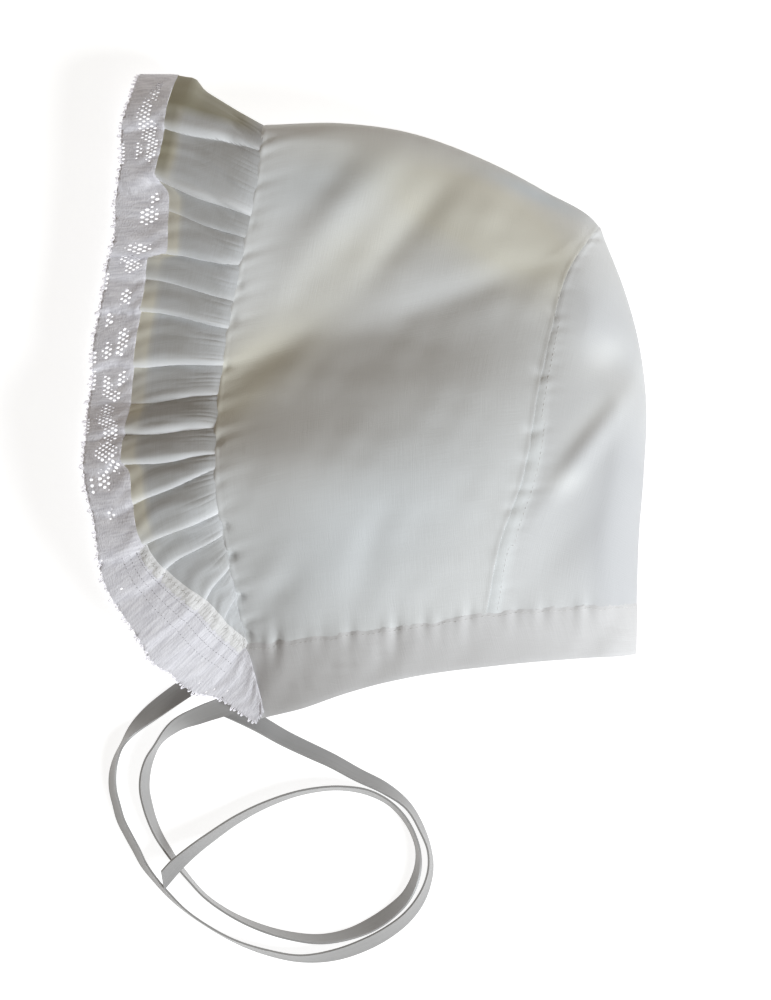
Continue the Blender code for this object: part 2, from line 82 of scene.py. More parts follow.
# Rolled edge of the folded cloth, from the front seam over the top and down the back to the band's lower
# edge: place in shares of BODY_LENGTH and BODY_HEIGHT, then height, upper roll and lower roll in shares of
# PUFF_HEIGHT
FOLD_LINE = [
    # along  up     height upper  lower
    (0.111, 0.998, 0.42, 0.12, 0.32),
    (0.292, 1.000, 0.46, 0.14, 0.36),
    (0.432, 0.987, 0.46, 0.25, 0.36),
    (0.622, 0.940, 0.42, 0.42, 0.36),
    (0.763, 0.889, 0.36, 0.45, 0.32),
    (0.891, 0.831, 0.28, 0.34, 0.25),
    (0.916, 0.789, 0.28, 0.28, 0.25),
    (0.949, 0.725, 0.32, 0.26, 0.28),
    (0.984, 0.629, 0.36, 0.36, 0.30),
    (1.000, 0.529, 0.36, 0.22, 0.30),
    (0.995, 0.419, 0.34, 0.22, 0.30),
    (0.984, 0.302, 0.30, 0.25, 0.28),
    (0.981, 0.193, 0.25, 0.25, 0.24),
    (0.979, 0.109, 0.22, 0.22, 0.22),
]
APEX_ROW = 5                    # where the back seams meet on the fold
NECK_ROW = 12                   # where the band's upper edge meets the fold

# Front edge, from the top fold down the front seam and the band's front end
FRONT_EDGE = [
    # along  up
    (0.111, 0.998),
    (0.095, 0.906),
    (0.067, 0.805),
    (0.019, 0.629),
    (0.000, 0.453),
    (0.005, 0.369),
    (0.026, 0.285),
    (0.067, 0.122),
    (0.102, 0.000),
]
CORNER_ROW = 7                  # where the band begins

# Back seam, from the apex down to the band
BACK_SEAM = [
    (0.891, 0.831),
    (0.817, 0.755),
    (0.770, 0.639),
    (0.742, 0.550),
    (0.705, 0.406),
    (0.652, 0.294),
    (0.624, 0.181),
]

# Upper edge of the neck band, from the front to the back fold
BAND_TOP = [
    (0.067, 0.122),
    (0.292, 0.146),
    (0.483, 0.164),
    (0.624, 0.181),
    (0.742, 0.188),
    (0.863, 0.192),
    (0.981, 0.193),
]
SEAM_FOOT_ROW = 3               # where the back seam ends on the band

# Lower edge of the neck band
BAND_FOOT = [
    (0.102, 0.000),
    (0.195, 0.018),
    (0.304, 0.047),
    (0.443, 0.074),
    (0.640, 0.094),
    (0.800, 0.104),
    (0.979, 0.109),
]

# Heights of the upper side in shares of PUFF_HEIGHT
STATIONS_ALONG = (0.00, 0.20, 0.43, 0.66, 0.83, 0.99)
UPPER_SIDE = [
    # up    heights at the stations along
    (0.00, (0.13, 0.40, 0.58, 0.62, 0.56, 0.42)),
    (0.12, (0.26, 0.55, 0.70, 0.71, 0.63, 0.48)),
    (0.27, (0.62, 0.84, 0.92, 0.88, 0.78, 0.62)),
    (0.42, (0.84, 0.96, 1.00, 0.95, 0.86, 0.72)),
    (0.54, (0.62, 0.74, 0.86, 0.90, 0.84, 0.70)),
    (0.65, (0.54, 0.57, 0.66, 0.78, 0.80, 0.66)),
    (0.77, (0.60, 0.60, 0.66, 0.74, 0.72, 0.58)),
    (0.87, (0.63, 0.65, 0.68, 0.72, 0.64, 0.50)),
    (1.00, (0.62, 0.62, 0.62, 0.60, 0.52, 0.42)),
]

# Soft folds and dents of the upper side: centre in shares of BODY_LENGTH and BODY_HEIGHT, direction in
# degrees above +X, half length, half width and height in shares of PUFF_HEIGHT
SOFT_FOLDS = [
    # along  up    turn  length width height
    (0.30, 0.86, 47.0, 0.46, 0.12, 0.045),
    (0.46, 0.83, 50.0, 0.40, 0.10, -0.035),
    (0.60, 0.72, 20.0, 0.60, 0.10, -0.030),
    (0.10, 0.60, 30.0, 0.34, 0.10, -0.040),
    (0.92, 0.60, -15.0, 0.22, 0.14, -0.045),
    (0.86, 0.46, 52.0, 0.40, 0.07, 0.045),
    (0.80, 0.30, 50.0, 0.34, 0.12, -0.020),
    (0.14, 0.21, 40.0, 0.20, 0.08, -0.020),
    (0.35, 0.26, 70.0, 0.30, 0.10, -0.015),
]

# Dimples pulled in along the back seams: share of the way down and depth
SEAM_DIMPLES = [
    (0.26, 0.0004),
    (0.41, 0.0007),
    (0.55, 0.0008),
    (0.62, 0.0004),
    (0.69, 0.0006),
    (0.74, 0.0006),
]

# The same along the front seam
FRONT_DIMPLES = [
    (0.190, 0.00042),
    (0.309, 0.00084),
    (0.370, 0.00098),
    (0.462, 0.00098),
    (0.610, 0.00056),
    (0.764, 0.00084),
    (0.822, 0.00098),
    (0.899, 0.00112),
    (0.972, 0.00112),
]

# Ruffle round the face: place along the seam in shares of its length, then the direction in degrees above -X
# and the reach in shares of FRILL_WIDTH or LACE_WIDTH
RUFFLE = [
    # along  frill angle, reach  lace angle, reach
    (0.000, 31.8, 1.17, 0.8, 0.85),
    (0.086, 26.0, 1.17, 0.0, 0.93),
    (0.169, 25.0, 1.09, -4.0, 0.96),
    (0.262, 17.0, 0.92, -2.0, 1.09),
    (0.345, 16.0, 0.98, -6.0, 0.99),
    (0.421, 6.5, 0.99, -12.0, 0.97),
    (0.517, -5.0, 0.99, -3.0, 0.92),
    (0.613, -4.0, 1.00, -6.5, 0.92),
    (0.718, -23.0, 0.94, -17.0, 0.96),
    (0.757, -25.0, 0.88, -34.0, 1.14),
    (0.843, -51.0, 0.49, -43.0, 1.66),
    (0.920, -59.0, 0.26, -43.0, 1.66),
    (1.000, -58.0, 0.00, -50.0, 1.40),
    (1.070, -12.0, -0.05, -51.0, 0.77),
    (1.135, -12.0, -0.06, -56.0, 0.30),
]
BAND_END = 1.13                 # share of the seam where the lace ends, at the band's lower corner

# Pleats where the edge between frill and lace jumps: place along the seam, jump outwards in shares of
# FRILL_WIDTH and length of the seam that it fades over
EDGE_JUMPS = [
    (0.188, -0.17, 0.05),
    (0.292, 0.20, 0.05),
    (0.636, -0.10, 0.05),
]

# Folds of the frill, from the top fold down. Each is a soft hump that ends in a sharp lip: place of the lip
# along the seam and how much further along it lies at the lace, in shares of the seam's length, the hump's
# height near the seam and at the lace in shares of FRILL_FOLD, and where it is highest in its breadth
FRILL_FOLD = 0.0024
TOP_BULGE = 0.0016              # by which the ruffle's top fold rounds out near the lace
TOP_DROP = 0.27                 # share of its height by which the ruffle's top fold rolls over
FRILL_LIPS = [
    # along  drift  inner outer top
    (0.000, 0.000, 0.0, 0.0, 0.5),
    (0.052, 0.042, 0.9, 1.1, 0.80),
    (0.176, 0.012, 1.1, 1.4, 0.86),
    (0.218, 0.006, 0.6, 0.2, 0.75),
    (0.270, 0.022, 1.1, 1.2, 0.72),
    (0.338, 0.004, 0.9, 0.5, 0.60),
    (0.392, -0.006, 1.0, 1.1, 0.86),
    (0.463, 0.000, 1.0, 1.0, 0.85),
    (0.520, 0.000, 0.8, 0.3, 0.72),
    (0.583, 0.004, 1.0, 1.0, 0.74),
    (0.632, 0.004, 0.7, 0.8, 0.80),
    (0.660, 0.024, 0.7, 0.8, 0.75),
    (0.742, 0.000, 1.1, 1.3, 0.72),
    (0.783, 0.000, 0.6, 0.7, 0.80),
    (0.846, 0.000, 0.8, 0.9, 0.80),
    (0.905, 0.000, 0.6, 0.6, 0.80),
    (1.000, 0.000, 0.5, 0.3, 0.75),
    (1.160, 0.000, 0.3, 0.2, 0.75),
]

# Routes of the ties, from the band's front corner to the free end: x, y and the height of the lower edge
# above the surface in metres, and the lean in degrees, where 0 lies flat and 90 stands on an edge
REST_GAP = 0.0002
TIE_NEAR_ROUTE = [
    (-0.0355, -0.0912, 0.0134, 0),
    (-0.0425, -0.0937, 0.0116, 14),
    (-0.0503, -0.0966, 0.0076, 30),
    (-0.0587, -0.1008, 0.0022, 56),
    (-0.0637, -0.1061, 0.0002, 78),
    (-0.0662, -0.1107, 0.0000, 70),
    (-0.0674, -0.1153, 0.0000, 66),
    (-0.0676, -0.1199, 0.0000, 66),
    (-0.0667, -0.1245, 0.0000, 67),
    (-0.0653, -0.1291, 0.0000, 70),
    (-0.0633, -0.1337, 0.0000, 73),
    (-0.0605, -0.1382, 0.0000, 77),
    (-0.0573, -0.1428, 0.0000, 82),
    (-0.0536, -0.1474, 0.0000, 86),
    (-0.0494, -0.1520, 0.0000, 87),
    (-0.0432, -0.1566, 0.0000, 86),
    (-0.0341, -0.1612, 0.0000, 81),
    (-0.0231, -0.1645, 0.0000, 76),
    (-0.0133, -0.1655, 0.0000, 70),
    (-0.0047, -0.1639, 0.0000, 64),
    (0.0023, -0.1609, 0.0000, 54),
    (0.0081, -0.1569, 0.0000, 56),
    (0.0124, -0.1526, 0.0000, 63),
    (0.0150, -0.1477, 0.0000, 69),
    (0.0162, -0.1428, 0.0000, 75),
    (0.0161, -0.1382, 0.0000, 79),
    (0.0146, -0.1333, 0.0000, 79),
    (0.0118, -0.1284, 0.0000, 77),
    (0.0075, -0.1240, 0.0000, 76),
    (0.0014, -0.1208, 0.0000, 73),
    (-0.0072, -0.1193, 0.0000, 76),
    (-0.0176, -0.1202, 0.0000, 75),
    (-0.0309, -0.1245, 0.0000, 70),
    (-0.0396, -0.1290, 0.0004, 65),
    (-0.0468, -0.1338, 0.0024, 60),
    (-0.0528, -0.1382, 0.0048, 54),
    (-0.0576, -0.1424, 0.0064, 47),
    (-0.0617, -0.1470, 0.0060, 44),
]
TIE_FAR_ROUTE = [
    (-0.0439, -0.0939, 0.0016, 4),
    (-0.0383, -0.0966, 0.0016, 28),
    (-0.0328, -0.0994, 0.0017, 38),
    (-0.0249, -0.1040, 0.0004, 45),
    (-0.0160, -0.1083, 0.0000, 49),
    (-0.0108, -0.1107, 0.0000, 52),
    (-0.0023, -0.1153, 0.0000, 56),
    (0.0063, -0.1196, 0.0000, 62),
    (0.0130, -0.1248, 0.0000, 74),
    (0.0173, -0.1321, 0.0000, 77),
    (0.0195, -0.1382, 0.0000, 81),
    (0.0199, -0.1437, 0.0000, 76),
    (0.0188, -0.1489, 0.0000, 70),
    (0.0164, -0.1541, 0.0000, 62),
    (0.0124, -0.1591, 0.0000, 56),
    (0.0069, -0.1634, 0.0000, 51),
    (-0.0004, -0.1673, 0.0000, 49),
    (-0.0096, -0.1704, 0.0000, 53),
    (-0.0200, -0.1714, 0.0000, 65),
    (-0.0298, -0.1696, 0.0000, 70),
    (-0.0405, -0.1658, 0.0000, 78),
    (-0.0487, -0.1612, 0.0000, 81),
    (-0.0552, -0.1566, 0.0000, 80),
    (-0.0601, -0.1520, 0.0000, 75),
    (-0.0642, -0.1474, 0.0000, 73),
    (-0.0677, -0.1428, 0.0000, 69),
    (-0.0700, -0.1383, 0.0000, 66),
    (-0.0725, -0.1337, 0.0000, 65),
    (-0.0748, -0.1291, 0.0000, 65),
    (-0.0761, -0.1245, 0.0000, 66),
    (-0.0772, -0.1199, 0.0000, 67),
    (-0.0773, -0.1153, 0.0000, 69),
    (-0.0764, -0.1107, 0.0000, 75),
    (-0.0744, -0.1061, 0.0000, 80),
    (-0.0711, -0.1015, 0.0000, 62),
    (-0.0659, -0.0967, 0.0000, 37),
    (-0.0598, -0.0921, 0.0006, 20),
    (-0.0531, -0.0875, 0.0016, 5),
]

LEFT = (FRILL_WIDTH + LACE_WIDTH - BODY_LENGTH) / 2
FOOT = -BODY_HEIGHT * 0.5436


# Curves and surfaces
def smooth(knots, values, where):
    """Cubic through a table's rows, each with the slope of the parabola through it and its neighbours,
    carried on straight past the ends."""
    knots = np.asarray(knots, float)
    values = np.asarray(values, float)
    slopes = np.gradient(values, knots, axis=0)
    where = np.asarray(where, float)
    inside = np.clip(where, knots[0], knots[-1])
    cell = np.clip(np.searchsorted(knots, inside, side="right") - 1, 0, len(knots) - 2)
    width = knots[cell + 1] - knots[cell]
    part = (inside - knots[cell]) / width
    past = where - inside
    if values.ndim > 1:
        width, part, past = width[..., None], part[..., None], past[..., None]
    start = values[cell] * (1 + 2 * part) * (1 - part) ** 2 + slopes[cell] * width * part * (1 - part) ** 2
    end = values[cell + 1] * part ** 2 * (3 - 2 * part) + slopes[cell + 1] * width * part ** 2 * (part - 1)
    return start + end + past * np.where(past < 0, slopes[0], slopes[-1])


def smooth_rows(knots, rows, where):
    """The same cubic, read at one place in each of many rows of values."""
    knots = np.asarray(knots, float)
    slopes = np.gradient(rows, knots, axis=-1)
    inside = np.clip(where, knots[0], knots[-1])
    cell = np.clip(np.searchsorted(knots, inside, side="right") - 1, 0, len(knots) - 2)
    width = knots[cell + 1] - knots[cell]
    part = (inside - knots[cell]) / width
    pick = np.arange(len(rows))
    start = rows[pick, cell] * (1 + 2 * part) + slopes[pick, cell] * width * part
    end = rows[pick, cell + 1] * (3 - 2 * part) + slopes[pick, cell + 1] * width * (part - 1)
    past = np.where(where < inside, slopes[:, 0], slopes[:, -1]) * (where - inside)
    return start * (1 - part) ** 2 + end * part ** 2 + past


def place(rows):
    """A table's shares along and up, as places in metres."""
    shares = np.array([row[:2] for row in rows])
    return np.array([LEFT, FOOT]) + shares * np.array([BODY_LENGTH, BODY_HEIGHT])


def chords(points):
    """Distance of each point from the first, along the chords."""
    return np.concatenate([[0.0], np.cumsum(np.linalg.norm(np.diff(points, axis=0), axis=1))])


FOLD_POINTS = place(FOLD_LINE)
FOLD_WAY = chords(FOLD_POINTS)
FRONT_POINTS = place(FRONT_EDGE)
FRONT_WAY = chords(FRONT_POINTS)
SEAM_LENGTH = FRONT_WAY[CORNER_ROW]
BACK_POINTS = place(BACK_SEAM)
BAND_TOP_POINTS = place(BAND_TOP)
BAND_FOOT_POINTS = place(BAND_FOOT)


def share_along(points, share):
    """Place at a share of a line's length, for lines read from end to end."""
    way = chords(points)
    return smooth(way / way[-1], points, share)


def fold(way):
    """Place on the fold line, some way along it."""
    return smooth(FOLD_WAY, FOLD_POINTS, way)


def front(share):
    """Place on the front edge, where share 1 is the band's upper corner."""
    return smooth(FRONT_WAY / SEAM_LENGTH, FRONT_POINTS, share)


def rolled(side, softness):
    """Share of the way from the fold for a place from -1, through the fold at 0, to 1: it grows with the
    square near the fold, so that a round roll is sampled evenly, and in proportion further on."""
    return (np.sqrt(side ** 2 + softness ** 2) - softness) / (math.sqrt(1 + softness ** 2) - softness)


def unrolled(share):
    """Place along the ruffle that has this share of the way from the fold."""
    stretch = math.sqrt(1 + RUFFLE_SOFTNESS ** 2) - RUFFLE_SOFTNESS
    return math.sqrt((share * stretch + RUFFLE_SOFTNESS) ** 2 - RUFFLE_SOFTNESS ** 2)


def eased(count):
    """Shares from 0 to 1 that lie closer together near both ends: the share less a part of its sine."""
    share = np.linspace(0, 1, count + 1)
    return share - 0.11 * np.sin(2 * np.pi * share)


def nearest_on_fold(points):
    """Distance of each place from the fold line, and the way along the line to its nearest point. Points
    that are almost as near count too, so that the way doesn't jump where two parts of the line are alike."""
    ways = np.linspace(0, FOLD_WAY[-1], TRACE_STEPS)
    trace = fold(ways)
    start, step = trace[:-1], np.diff(trace, axis=0)
    flat = points.reshape(-1, 1, 2)
    part = np.clip(((flat - start) * step).sum(2) / (step ** 2).sum(1), 0, 1)
    gap = np.linalg.norm(flat - start - part[..., None] * step, axis=2)
    nearest = gap.min(1)
    weight = np.exp((nearest[:, None] - gap) / FOLD_BLEND)
    way = (weight * (ways[:-1] + part * (ways[1] - ways[0]))).sum(1) / weight.sum(1)
    return nearest.reshape(points.shape[:-1]), way.reshape(points.shape[:-1])


def bells(points, places):
    """Sum of long mounds and dents, one for each row of a table: each falls off as a bell along its
    direction and as a narrower one across it."""
    height = 0
    for along, up, turn, length, width, rise in places:
        x = (points[..., 0] - LEFT - along * BODY_LENGTH) / PUFF_HEIGHT
        y = (points[..., 1] - FOOT - up * BODY_HEIGHT) / PUFF_HEIGHT
        cosine, sine = math.cos(math.radians(turn)), math.sin(math.radians(turn))
        height = height + rise * np.exp(-((x * cosine + y * sine) / length) ** 2
                                        - ((y * cosine - x * sine) / width) ** 2)
    return height


def tinted(points, places):
    """How strongly each place shows a tint, from 0 to 1."""
    return np.clip(bells(points, places), 0, 1)


def upper_height(points):
    """Height of the upper side away from the folds, from the table of heights and the soft folds."""
    along = (points[..., 0] - LEFT) / BODY_LENGTH
    up = (points[..., 1] - FOOT) / BODY_HEIGHT
    table = np.array([heights for _, heights in UPPER_SIDE])
    rows = smooth([share for share, _ in UPPER_SIDE], table, up).reshape(-1, len(STATIONS_ALONG))
    read = smooth_rows(STATIONS_ALONG, rows, along.ravel()).reshape(along.shape)
    return PUFF_HEIGHT * (read + bells(points, SOFT_FOLDS))


def body_surface(points, side):
    """Raise places to the cloth's height: from the fold's height, a quarter of an ellipse up to the upper
    side where side is negative, and one down to the resting height where it is positive."""
    gap, way = nearest_on_fold(points)
    table = np.array([row[2:] for row in FOLD_LINE]) * PUFF_HEIGHT
    edge, upper_roll, lower_roll = np.moveaxis(smooth(FOLD_WAY, table, way), -1, 0)
    roll = np.where(side < 0, upper_roll, lower_roll)
    share = np.clip(gap / roll, 0, 1)
    turn = np.sqrt(1 - (1 - share) ** 2)
    upper = edge + (upper_height(points) - edge) * turn
    lower = edge + (REST_WALL / 2 - edge) * turn
    height = np.where(side < 0, upper, lower)
    return np.concatenate([points, height[..., None]], axis=-1)


def grid_normals(grid):
    """Unit normal at each point of a grid, across its two directions."""
    across = np.cross(np.gradient(grid, axis=0), np.gradient(grid, axis=1))
    return across / np.maximum(np.linalg.norm(across, axis=-1, keepdims=True), 1e-12)


def waver(distance, pitch, start):
    """Uneven ripple from about -1 to 1: three sines whose lengths have no common measure."""
    turn = 2 * np.pi * distance / pitch + start
    return (np.sin(turn) + 0.7 * np.sin(1.63 * turn + 1.9) + 0.5 * np.sin(0.61 * turn + 0.7)) / 1.7


def puckers(distance, pitch, start):
    """Ripple of uneven height: the same three sines, stronger in some stretches than in others."""
    turn = 2 * np.pi * distance / pitch
    stretch = 0.6 + 0.4 * np.sin(turn / 3.7 + start) * np.sin(turn / 8.3 + 2 * start)
    return waver(distance, pitch, start) * stretch


def fades(distance, reach):
    """1 at a seam, falling off with distance from it."""
    return np.exp(-np.abs(distance) / reach)


def seam_puckers(kind, way, apart, start):
    """Puckers across a seam, of a kind with the stated depth, pitch and reach."""
    depth, pitch, reach = kind
    return depth * puckers(way, pitch, start) * fades(apart, reach)


def relieved(middle, normals, relief, side):
    """Move a cloth by its relief, outwards on the upper side. The lower side only goes inwards, off the
    surface that it lies on, and the fold line itself keeps its place."""
    calm = 1 - np.exp(-(side / 0.03) ** 2)
    moved = middle + normals * (np.where(side < 0, relief, -np.abs(relief)) * calm)[..., None]
    turned = grid_normals(moved)
    return moved, turned * np.sign((turned * normals).sum(-1, keepdims=True))


# Meshes
def surface_lengths(middle):
    """Distances in metres along a grid's two directions, as a map that follows the cloth."""
    first = np.linalg.norm(np.diff(middle, axis=0), axis=-1)
    second = np.linalg.norm(np.diff(middle, axis=1), axis=-1)
    along = np.concatenate([np.zeros((1, middle.shape[1])), np.cumsum(first, axis=0)])
    across = np.concatenate([np.zeros((middle.shape[0], 1)), np.cumsum(second, axis=1)], axis=1)
    return np.stack([along, across], axis=-1)


def make_piece(name, points, faces, uv, finish, nodes, values=()):
    """Mesh object at the origin that rides with the bonnet and stands for the named solids."""
    mesh = bpy.data.meshes.new(name)
    mesh.from_pydata(points.tolist(), [], [face for group in faces for face in group.tolist()])
    mesh.update()
    corner = np.zeros(len(mesh.loops), np.int32)
    mesh.loops.foreach_get("vertex_index", corner)
    layer = mesh.uv_layers.new(name="cloth")
    layer.data.foreach_set("uv", uv[corner].astype(np.float32).ravel())
    for attribute_name, attribute_values in values:
        attribute = mesh.attributes.new(attribute_name, "FLOAT", "POINT")
        attribute.data.foreach_set("value", attribute_values.astype(np.float32))
    mesh.shade_smooth()
    mesh.set_sharp_from_angle(angle=SHARP_ANGLE)
    mesh.materials.append(finish)
    made = bpy.data.objects.new(name, mesh)
    bpy.context.scene.collection.objects.link(made)
    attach(made, "root")
    if nodes:
        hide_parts(*nodes)
    return made


def shell(middle, normals, thickness):
    """Closed wall round a grid of points: a skin on each side and a rim round the edge."""
    rows, columns = middle.shape[:2]
    half = np.asarray(thickness)[..., None] / 2
    points = np.stack([middle + normals * half, middle - normals * half]).reshape(-1, 3)
    index = np.arange(rows * columns).reshape(rows, columns)
    top = np.stack([index[:-1, :-1], index[1:, :-1], index[1:, 1:], index[:-1, 1:]], axis=-1).reshape(-1, 4)
    under = rows * columns
    loop = np.concatenate([index[:, 0], index[-1, 1:], index[-2::-1, -1], index[0, -2:0:-1]])
    after = np.roll(loop, -1)
    rim = np.stack([after, loop, loop + under, after + under], axis=-1)
    faces = np.concatenate([top, top[:, ::-1] + under, rim])
    if (grid_normals(middle) * normals).sum() < 0:
        faces = faces[:, ::-1]
    return points, faces


def cloth_piece(name, middle, normals, thickness, finish, nodes, uv=None, marks=()):
    """Wall round a grid, with its map in metres and the stated marks on both skins."""
    points, faces = shell(middle, normals, thickness)
    uv = surface_lengths(middle) if uv is None else uv
    both = np.tile(uv.reshape(-1, 2), (2, 1))
    values = [(mark, np.tile(amount.ravel(), 2)) for mark, amount in marks]
    return make_piece(name, points, [faces], both, finish, nodes, values)


def tubes(paths, upward, radius, sides=6):
    """Closed threads: rings of a circle carried along each path, with a cap at both ends. Paths are an array
    of threads by steps by 3, and upward holds a direction off the cloth for each step."""
    count, steps = paths.shape[:2]
    ahead = np.gradient(paths, axis=1)
    ahead /= np.maximum(np.linalg.norm(ahead, axis=-1, keepdims=True), 1e-12)
    beside = np.cross(ahead, upward)
    beside /= np.maximum(np.linalg.norm(beside, axis=-1, keepdims=True), 1e-12)
    above = np.cross(beside, ahead)
    turn = np.linspace(0, 2 * np.pi, sides, endpoint=False)
    ring = beside[:, :, None] * np.cos(turn)[:, None] + above[:, :, None] * np.sin(turn)[:, None]
    points = (paths[:, :, None] + ring * np.asarray(radius)[..., None, None]).reshape(-1, 3)
    index = np.arange(count * steps * sides).reshape(count, steps, sides)
    after = np.roll(index, -1, axis=2)
    walls = np.stack([index[:, :-1], index[:, 1:], after[:, 1:], after[:, :-1]], axis=-1).reshape(-1, 4)
    caps = np.concatenate([index[:, 0], index[:, -1, ::-1]])
    return points, [walls, caps]


def resampled(line, values, spacing, start=0.0):
    """Points and values at even distances along a line, between its ends."""
    way = chords(line)
    at = np.arange(start, way[-1], spacing)
    columns = np.concatenate([line, values], axis=1)
    read = np.stack([np.interp(at, way, column) for column in columns.T], axis=1)
    return read[:, :3], read[:, 3:]


def stitch_row(line, outward, pitch, length, radius):
    """Row of stitches along a line: each is an arched thread that dips into the cloth at both ends."""
    begin, normal = resampled(line, outward, pitch)
    end, _ = resampled(line, outward, pitch, length)
    count = min(len(begin), len(end))
    begin, end, normal = begin[:count], end[:count], normal[:count]
    return stitches(begin, end, normal, radius)


def stitches(begin, end, normal, radius):
    """Arched threads from each beginning to its end, thinner where they enter the cloth."""
    step = np.linspace(0, 1, 7)
    rise = np.sin(np.pi * step) ** 0.6 * 1.6 - 0.9
    paths = (begin[:, None] + (end - begin)[:, None] * step[:, None]
             + normal[:, None] * (radius * rise)[:, None])
    thick = radius * (0.45 + 0.55 * np.sin(np.pi * step) ** 0.5)
    return tubes(paths, np.repeat(normal[:, None], 7, axis=1), np.broadcast_to(thick, paths.shape[:2]))


def joined(parts):
    """One list of points and faces from several."""
    points, faces, base = [], [], 0
    for part_points, part_faces in parts:
        points.append(part_points)
        faces += [group + base for group in part_faces]
        base += len(part_points)
    return np.concatenate(points), faces


# Finishes
THREAD_LENGTH = 0.012           # over which a thread of the weave keeps its thickness


def node(tree, kind, **values):
    """New shader node with its settings and the constants of its named inputs."""
    made = tree.nodes.new(kind)
    for name, value in values.items():
        if name in made.inputs:
            made.inputs[name].default_value = value
        else:
            setattr(made, name, value)
    return made


def streaks(tree, source, pitch, length, detail=2.0):
    """Noise drawn out along one direction of the cloth's map, as the uneven threads of a weave."""
    stretch = node(tree, "ShaderNodeMapping")
    stretch.inputs["Scale"].default_value = (1 / length, 1 / pitch, 1)
    noise = node(tree, "ShaderNodeTexNoise", Scale=1.0, Detail=detail, Roughness=0.6)
    tree.links.new(source, stretch.inputs["Vector"])
    tree.links.new(stretch.outputs["Vector"], noise.inputs["Vector"])
    return noise.outputs["Fac"]


def blended(tree, factor, dark, light):
    """Colour from dark to light by a factor."""
    mix = node(tree, "ShaderNodeMix", data_type="RGBA")
    mix.inputs["A"].default_value = (*dark, 1)
    mix.inputs["B"].default_value = (*light, 1)
    tree.links.new(factor, mix.inputs["Factor"])
    return mix.outputs["Result"]


def arithmetic(tree, operation, *values):
    """Result of a sum, difference or product of constants and other nodes' outputs."""
    made = node(tree, "ShaderNodeMath", operation=operation)
    for socket, value in zip(made.inputs, values):
        if isinstance(value, (int, float)):
            socket.default_value = value
        else:
            tree.links.new(value, socket)
    return made.outputs["Value"]


def new_finish(name, roughness, specular, sheen, glow=0.0, glow_colour=(1, 1, 1)):
    """Material with the stated surface, with its node tree, its shader and the cloth's map."""
    material = bpy.data.materials.new(name)
    material.use_nodes = True
    tree = material.node_tree
    shader = tree.nodes["Principled BSDF"]
    shader.inputs["Roughness"].default_value = roughness
    shader.inputs["Specular IOR Level"].default_value = specular
    shader.inputs["Sheen Weight"].default_value = sheen
    shader.inputs["Emission Color"].default_value = (*glow_colour, 1)
    shader.inputs["Emission Strength"].default_value = glow
    cloth = node(tree, "ShaderNodeUVMap", uv_map="cloth")
    return material, tree, shader, cloth.outputs["UV"]


def show(tree, shader, colour, height, strength, distance):
    """Give the shader its colour, and its bump from a height."""
    tree.links.new(colour, shader.inputs["Base Color"])
    bump = node(tree, "ShaderNodeBump", Strength=strength, Distance=distance)
    tree.links.new(height, bump.inputs["Height"])
    tree.links.new(bump.outputs["Normal"], shader.inputs["Normal"])


def woven_finish(name, dark, light, thread, depth, roughness, sheen, clouds=38.0, marks=()):
    """Plain woven cloth: crossing uneven threads in height and colour, over a broad faint mottle, and the
    colours of the marked places over that, some of which are painted light and shade."""
    material, tree, shader, cloth = new_finish(name, roughness, 0.25, sheen)
    shader.inputs["Sheen Roughness"].default_value = 0.4
    warp = streaks(tree, cloth, thread, THREAD_LENGTH)
    weft = streaks(tree, cloth, THREAD_LENGTH, thread)
    weave = arithmetic(tree, "ADD", warp, weft)
    position = node(tree, "ShaderNodeTexCoord")
    mottle = node(tree, "ShaderNodeTexNoise", Scale=clouds, Detail=3.0, Roughness=0.5)
    tree.links.new(position.outputs["Object"], mottle.inputs["Vector"])
    tone = arithmetic(tree, "MULTIPLY_ADD", weave, 0.55, mottle.outputs["Fac"])
    spread = arithmetic(tree, "SUBTRACT", tone, 0.55)
    colour = blended(tree, spread, dark, light)
    for mark, tint in marks:
        amount = node(tree, "ShaderNodeAttribute", attribute_name=mark)
        mix = node(tree, "ShaderNodeMix", data_type="RGBA")
        mix.inputs["B"].default_value = (*tint, 1)
        tree.links.new(amount.outputs["Fac"], mix.inputs["Factor"])
        tree.links.new(colour, mix.inputs["A"])
        colour = mix.outputs["Result"]
    show(tree, shader, colour, weave, 0.6, depth)
    return material


def satin_finish(name, dark, light, glow=0.0):
    """Satin ribbon or thread: fine ribs along its length, a soft gloss and a faint painted glow."""
    material, tree, shader, cloth = new_finish(name, 0.38, 0.45, 0.15, glow, (1, 0.98, 0.95))
    ribs = streaks(tree, cloth, 0.00035, 0.03)
    show(tree, shader, blended(tree, ribs, dark, light), ribs, 0.4, 0.00006)
    return material


def lace_finish(name, dark, light, glow):
    """Knitted lace: fine ribs across its width and looped threads, slightly lilac in the shade, and a faint
    painted glow for the light that comes through the thin threads."""
    material, tree, shader, cloth = new_finish(name, 0.7, 0.3, 0.2, glow, (0.94, 0.92, 1.0))
    ribs = streaks(tree, cloth, 0.006, 0.0006)
    loops = node(tree, "ShaderNodeTexVoronoi", Scale=2600.0)
    tree.links.new(cloth, loops.inputs["Vector"])
    threads = arithmetic(tree, "ADD", ribs, loops.outputs["Distance"])
    show(tree, shader, blended(tree, ribs, dark, light), threads, 0.7, 0.00014)
    return material
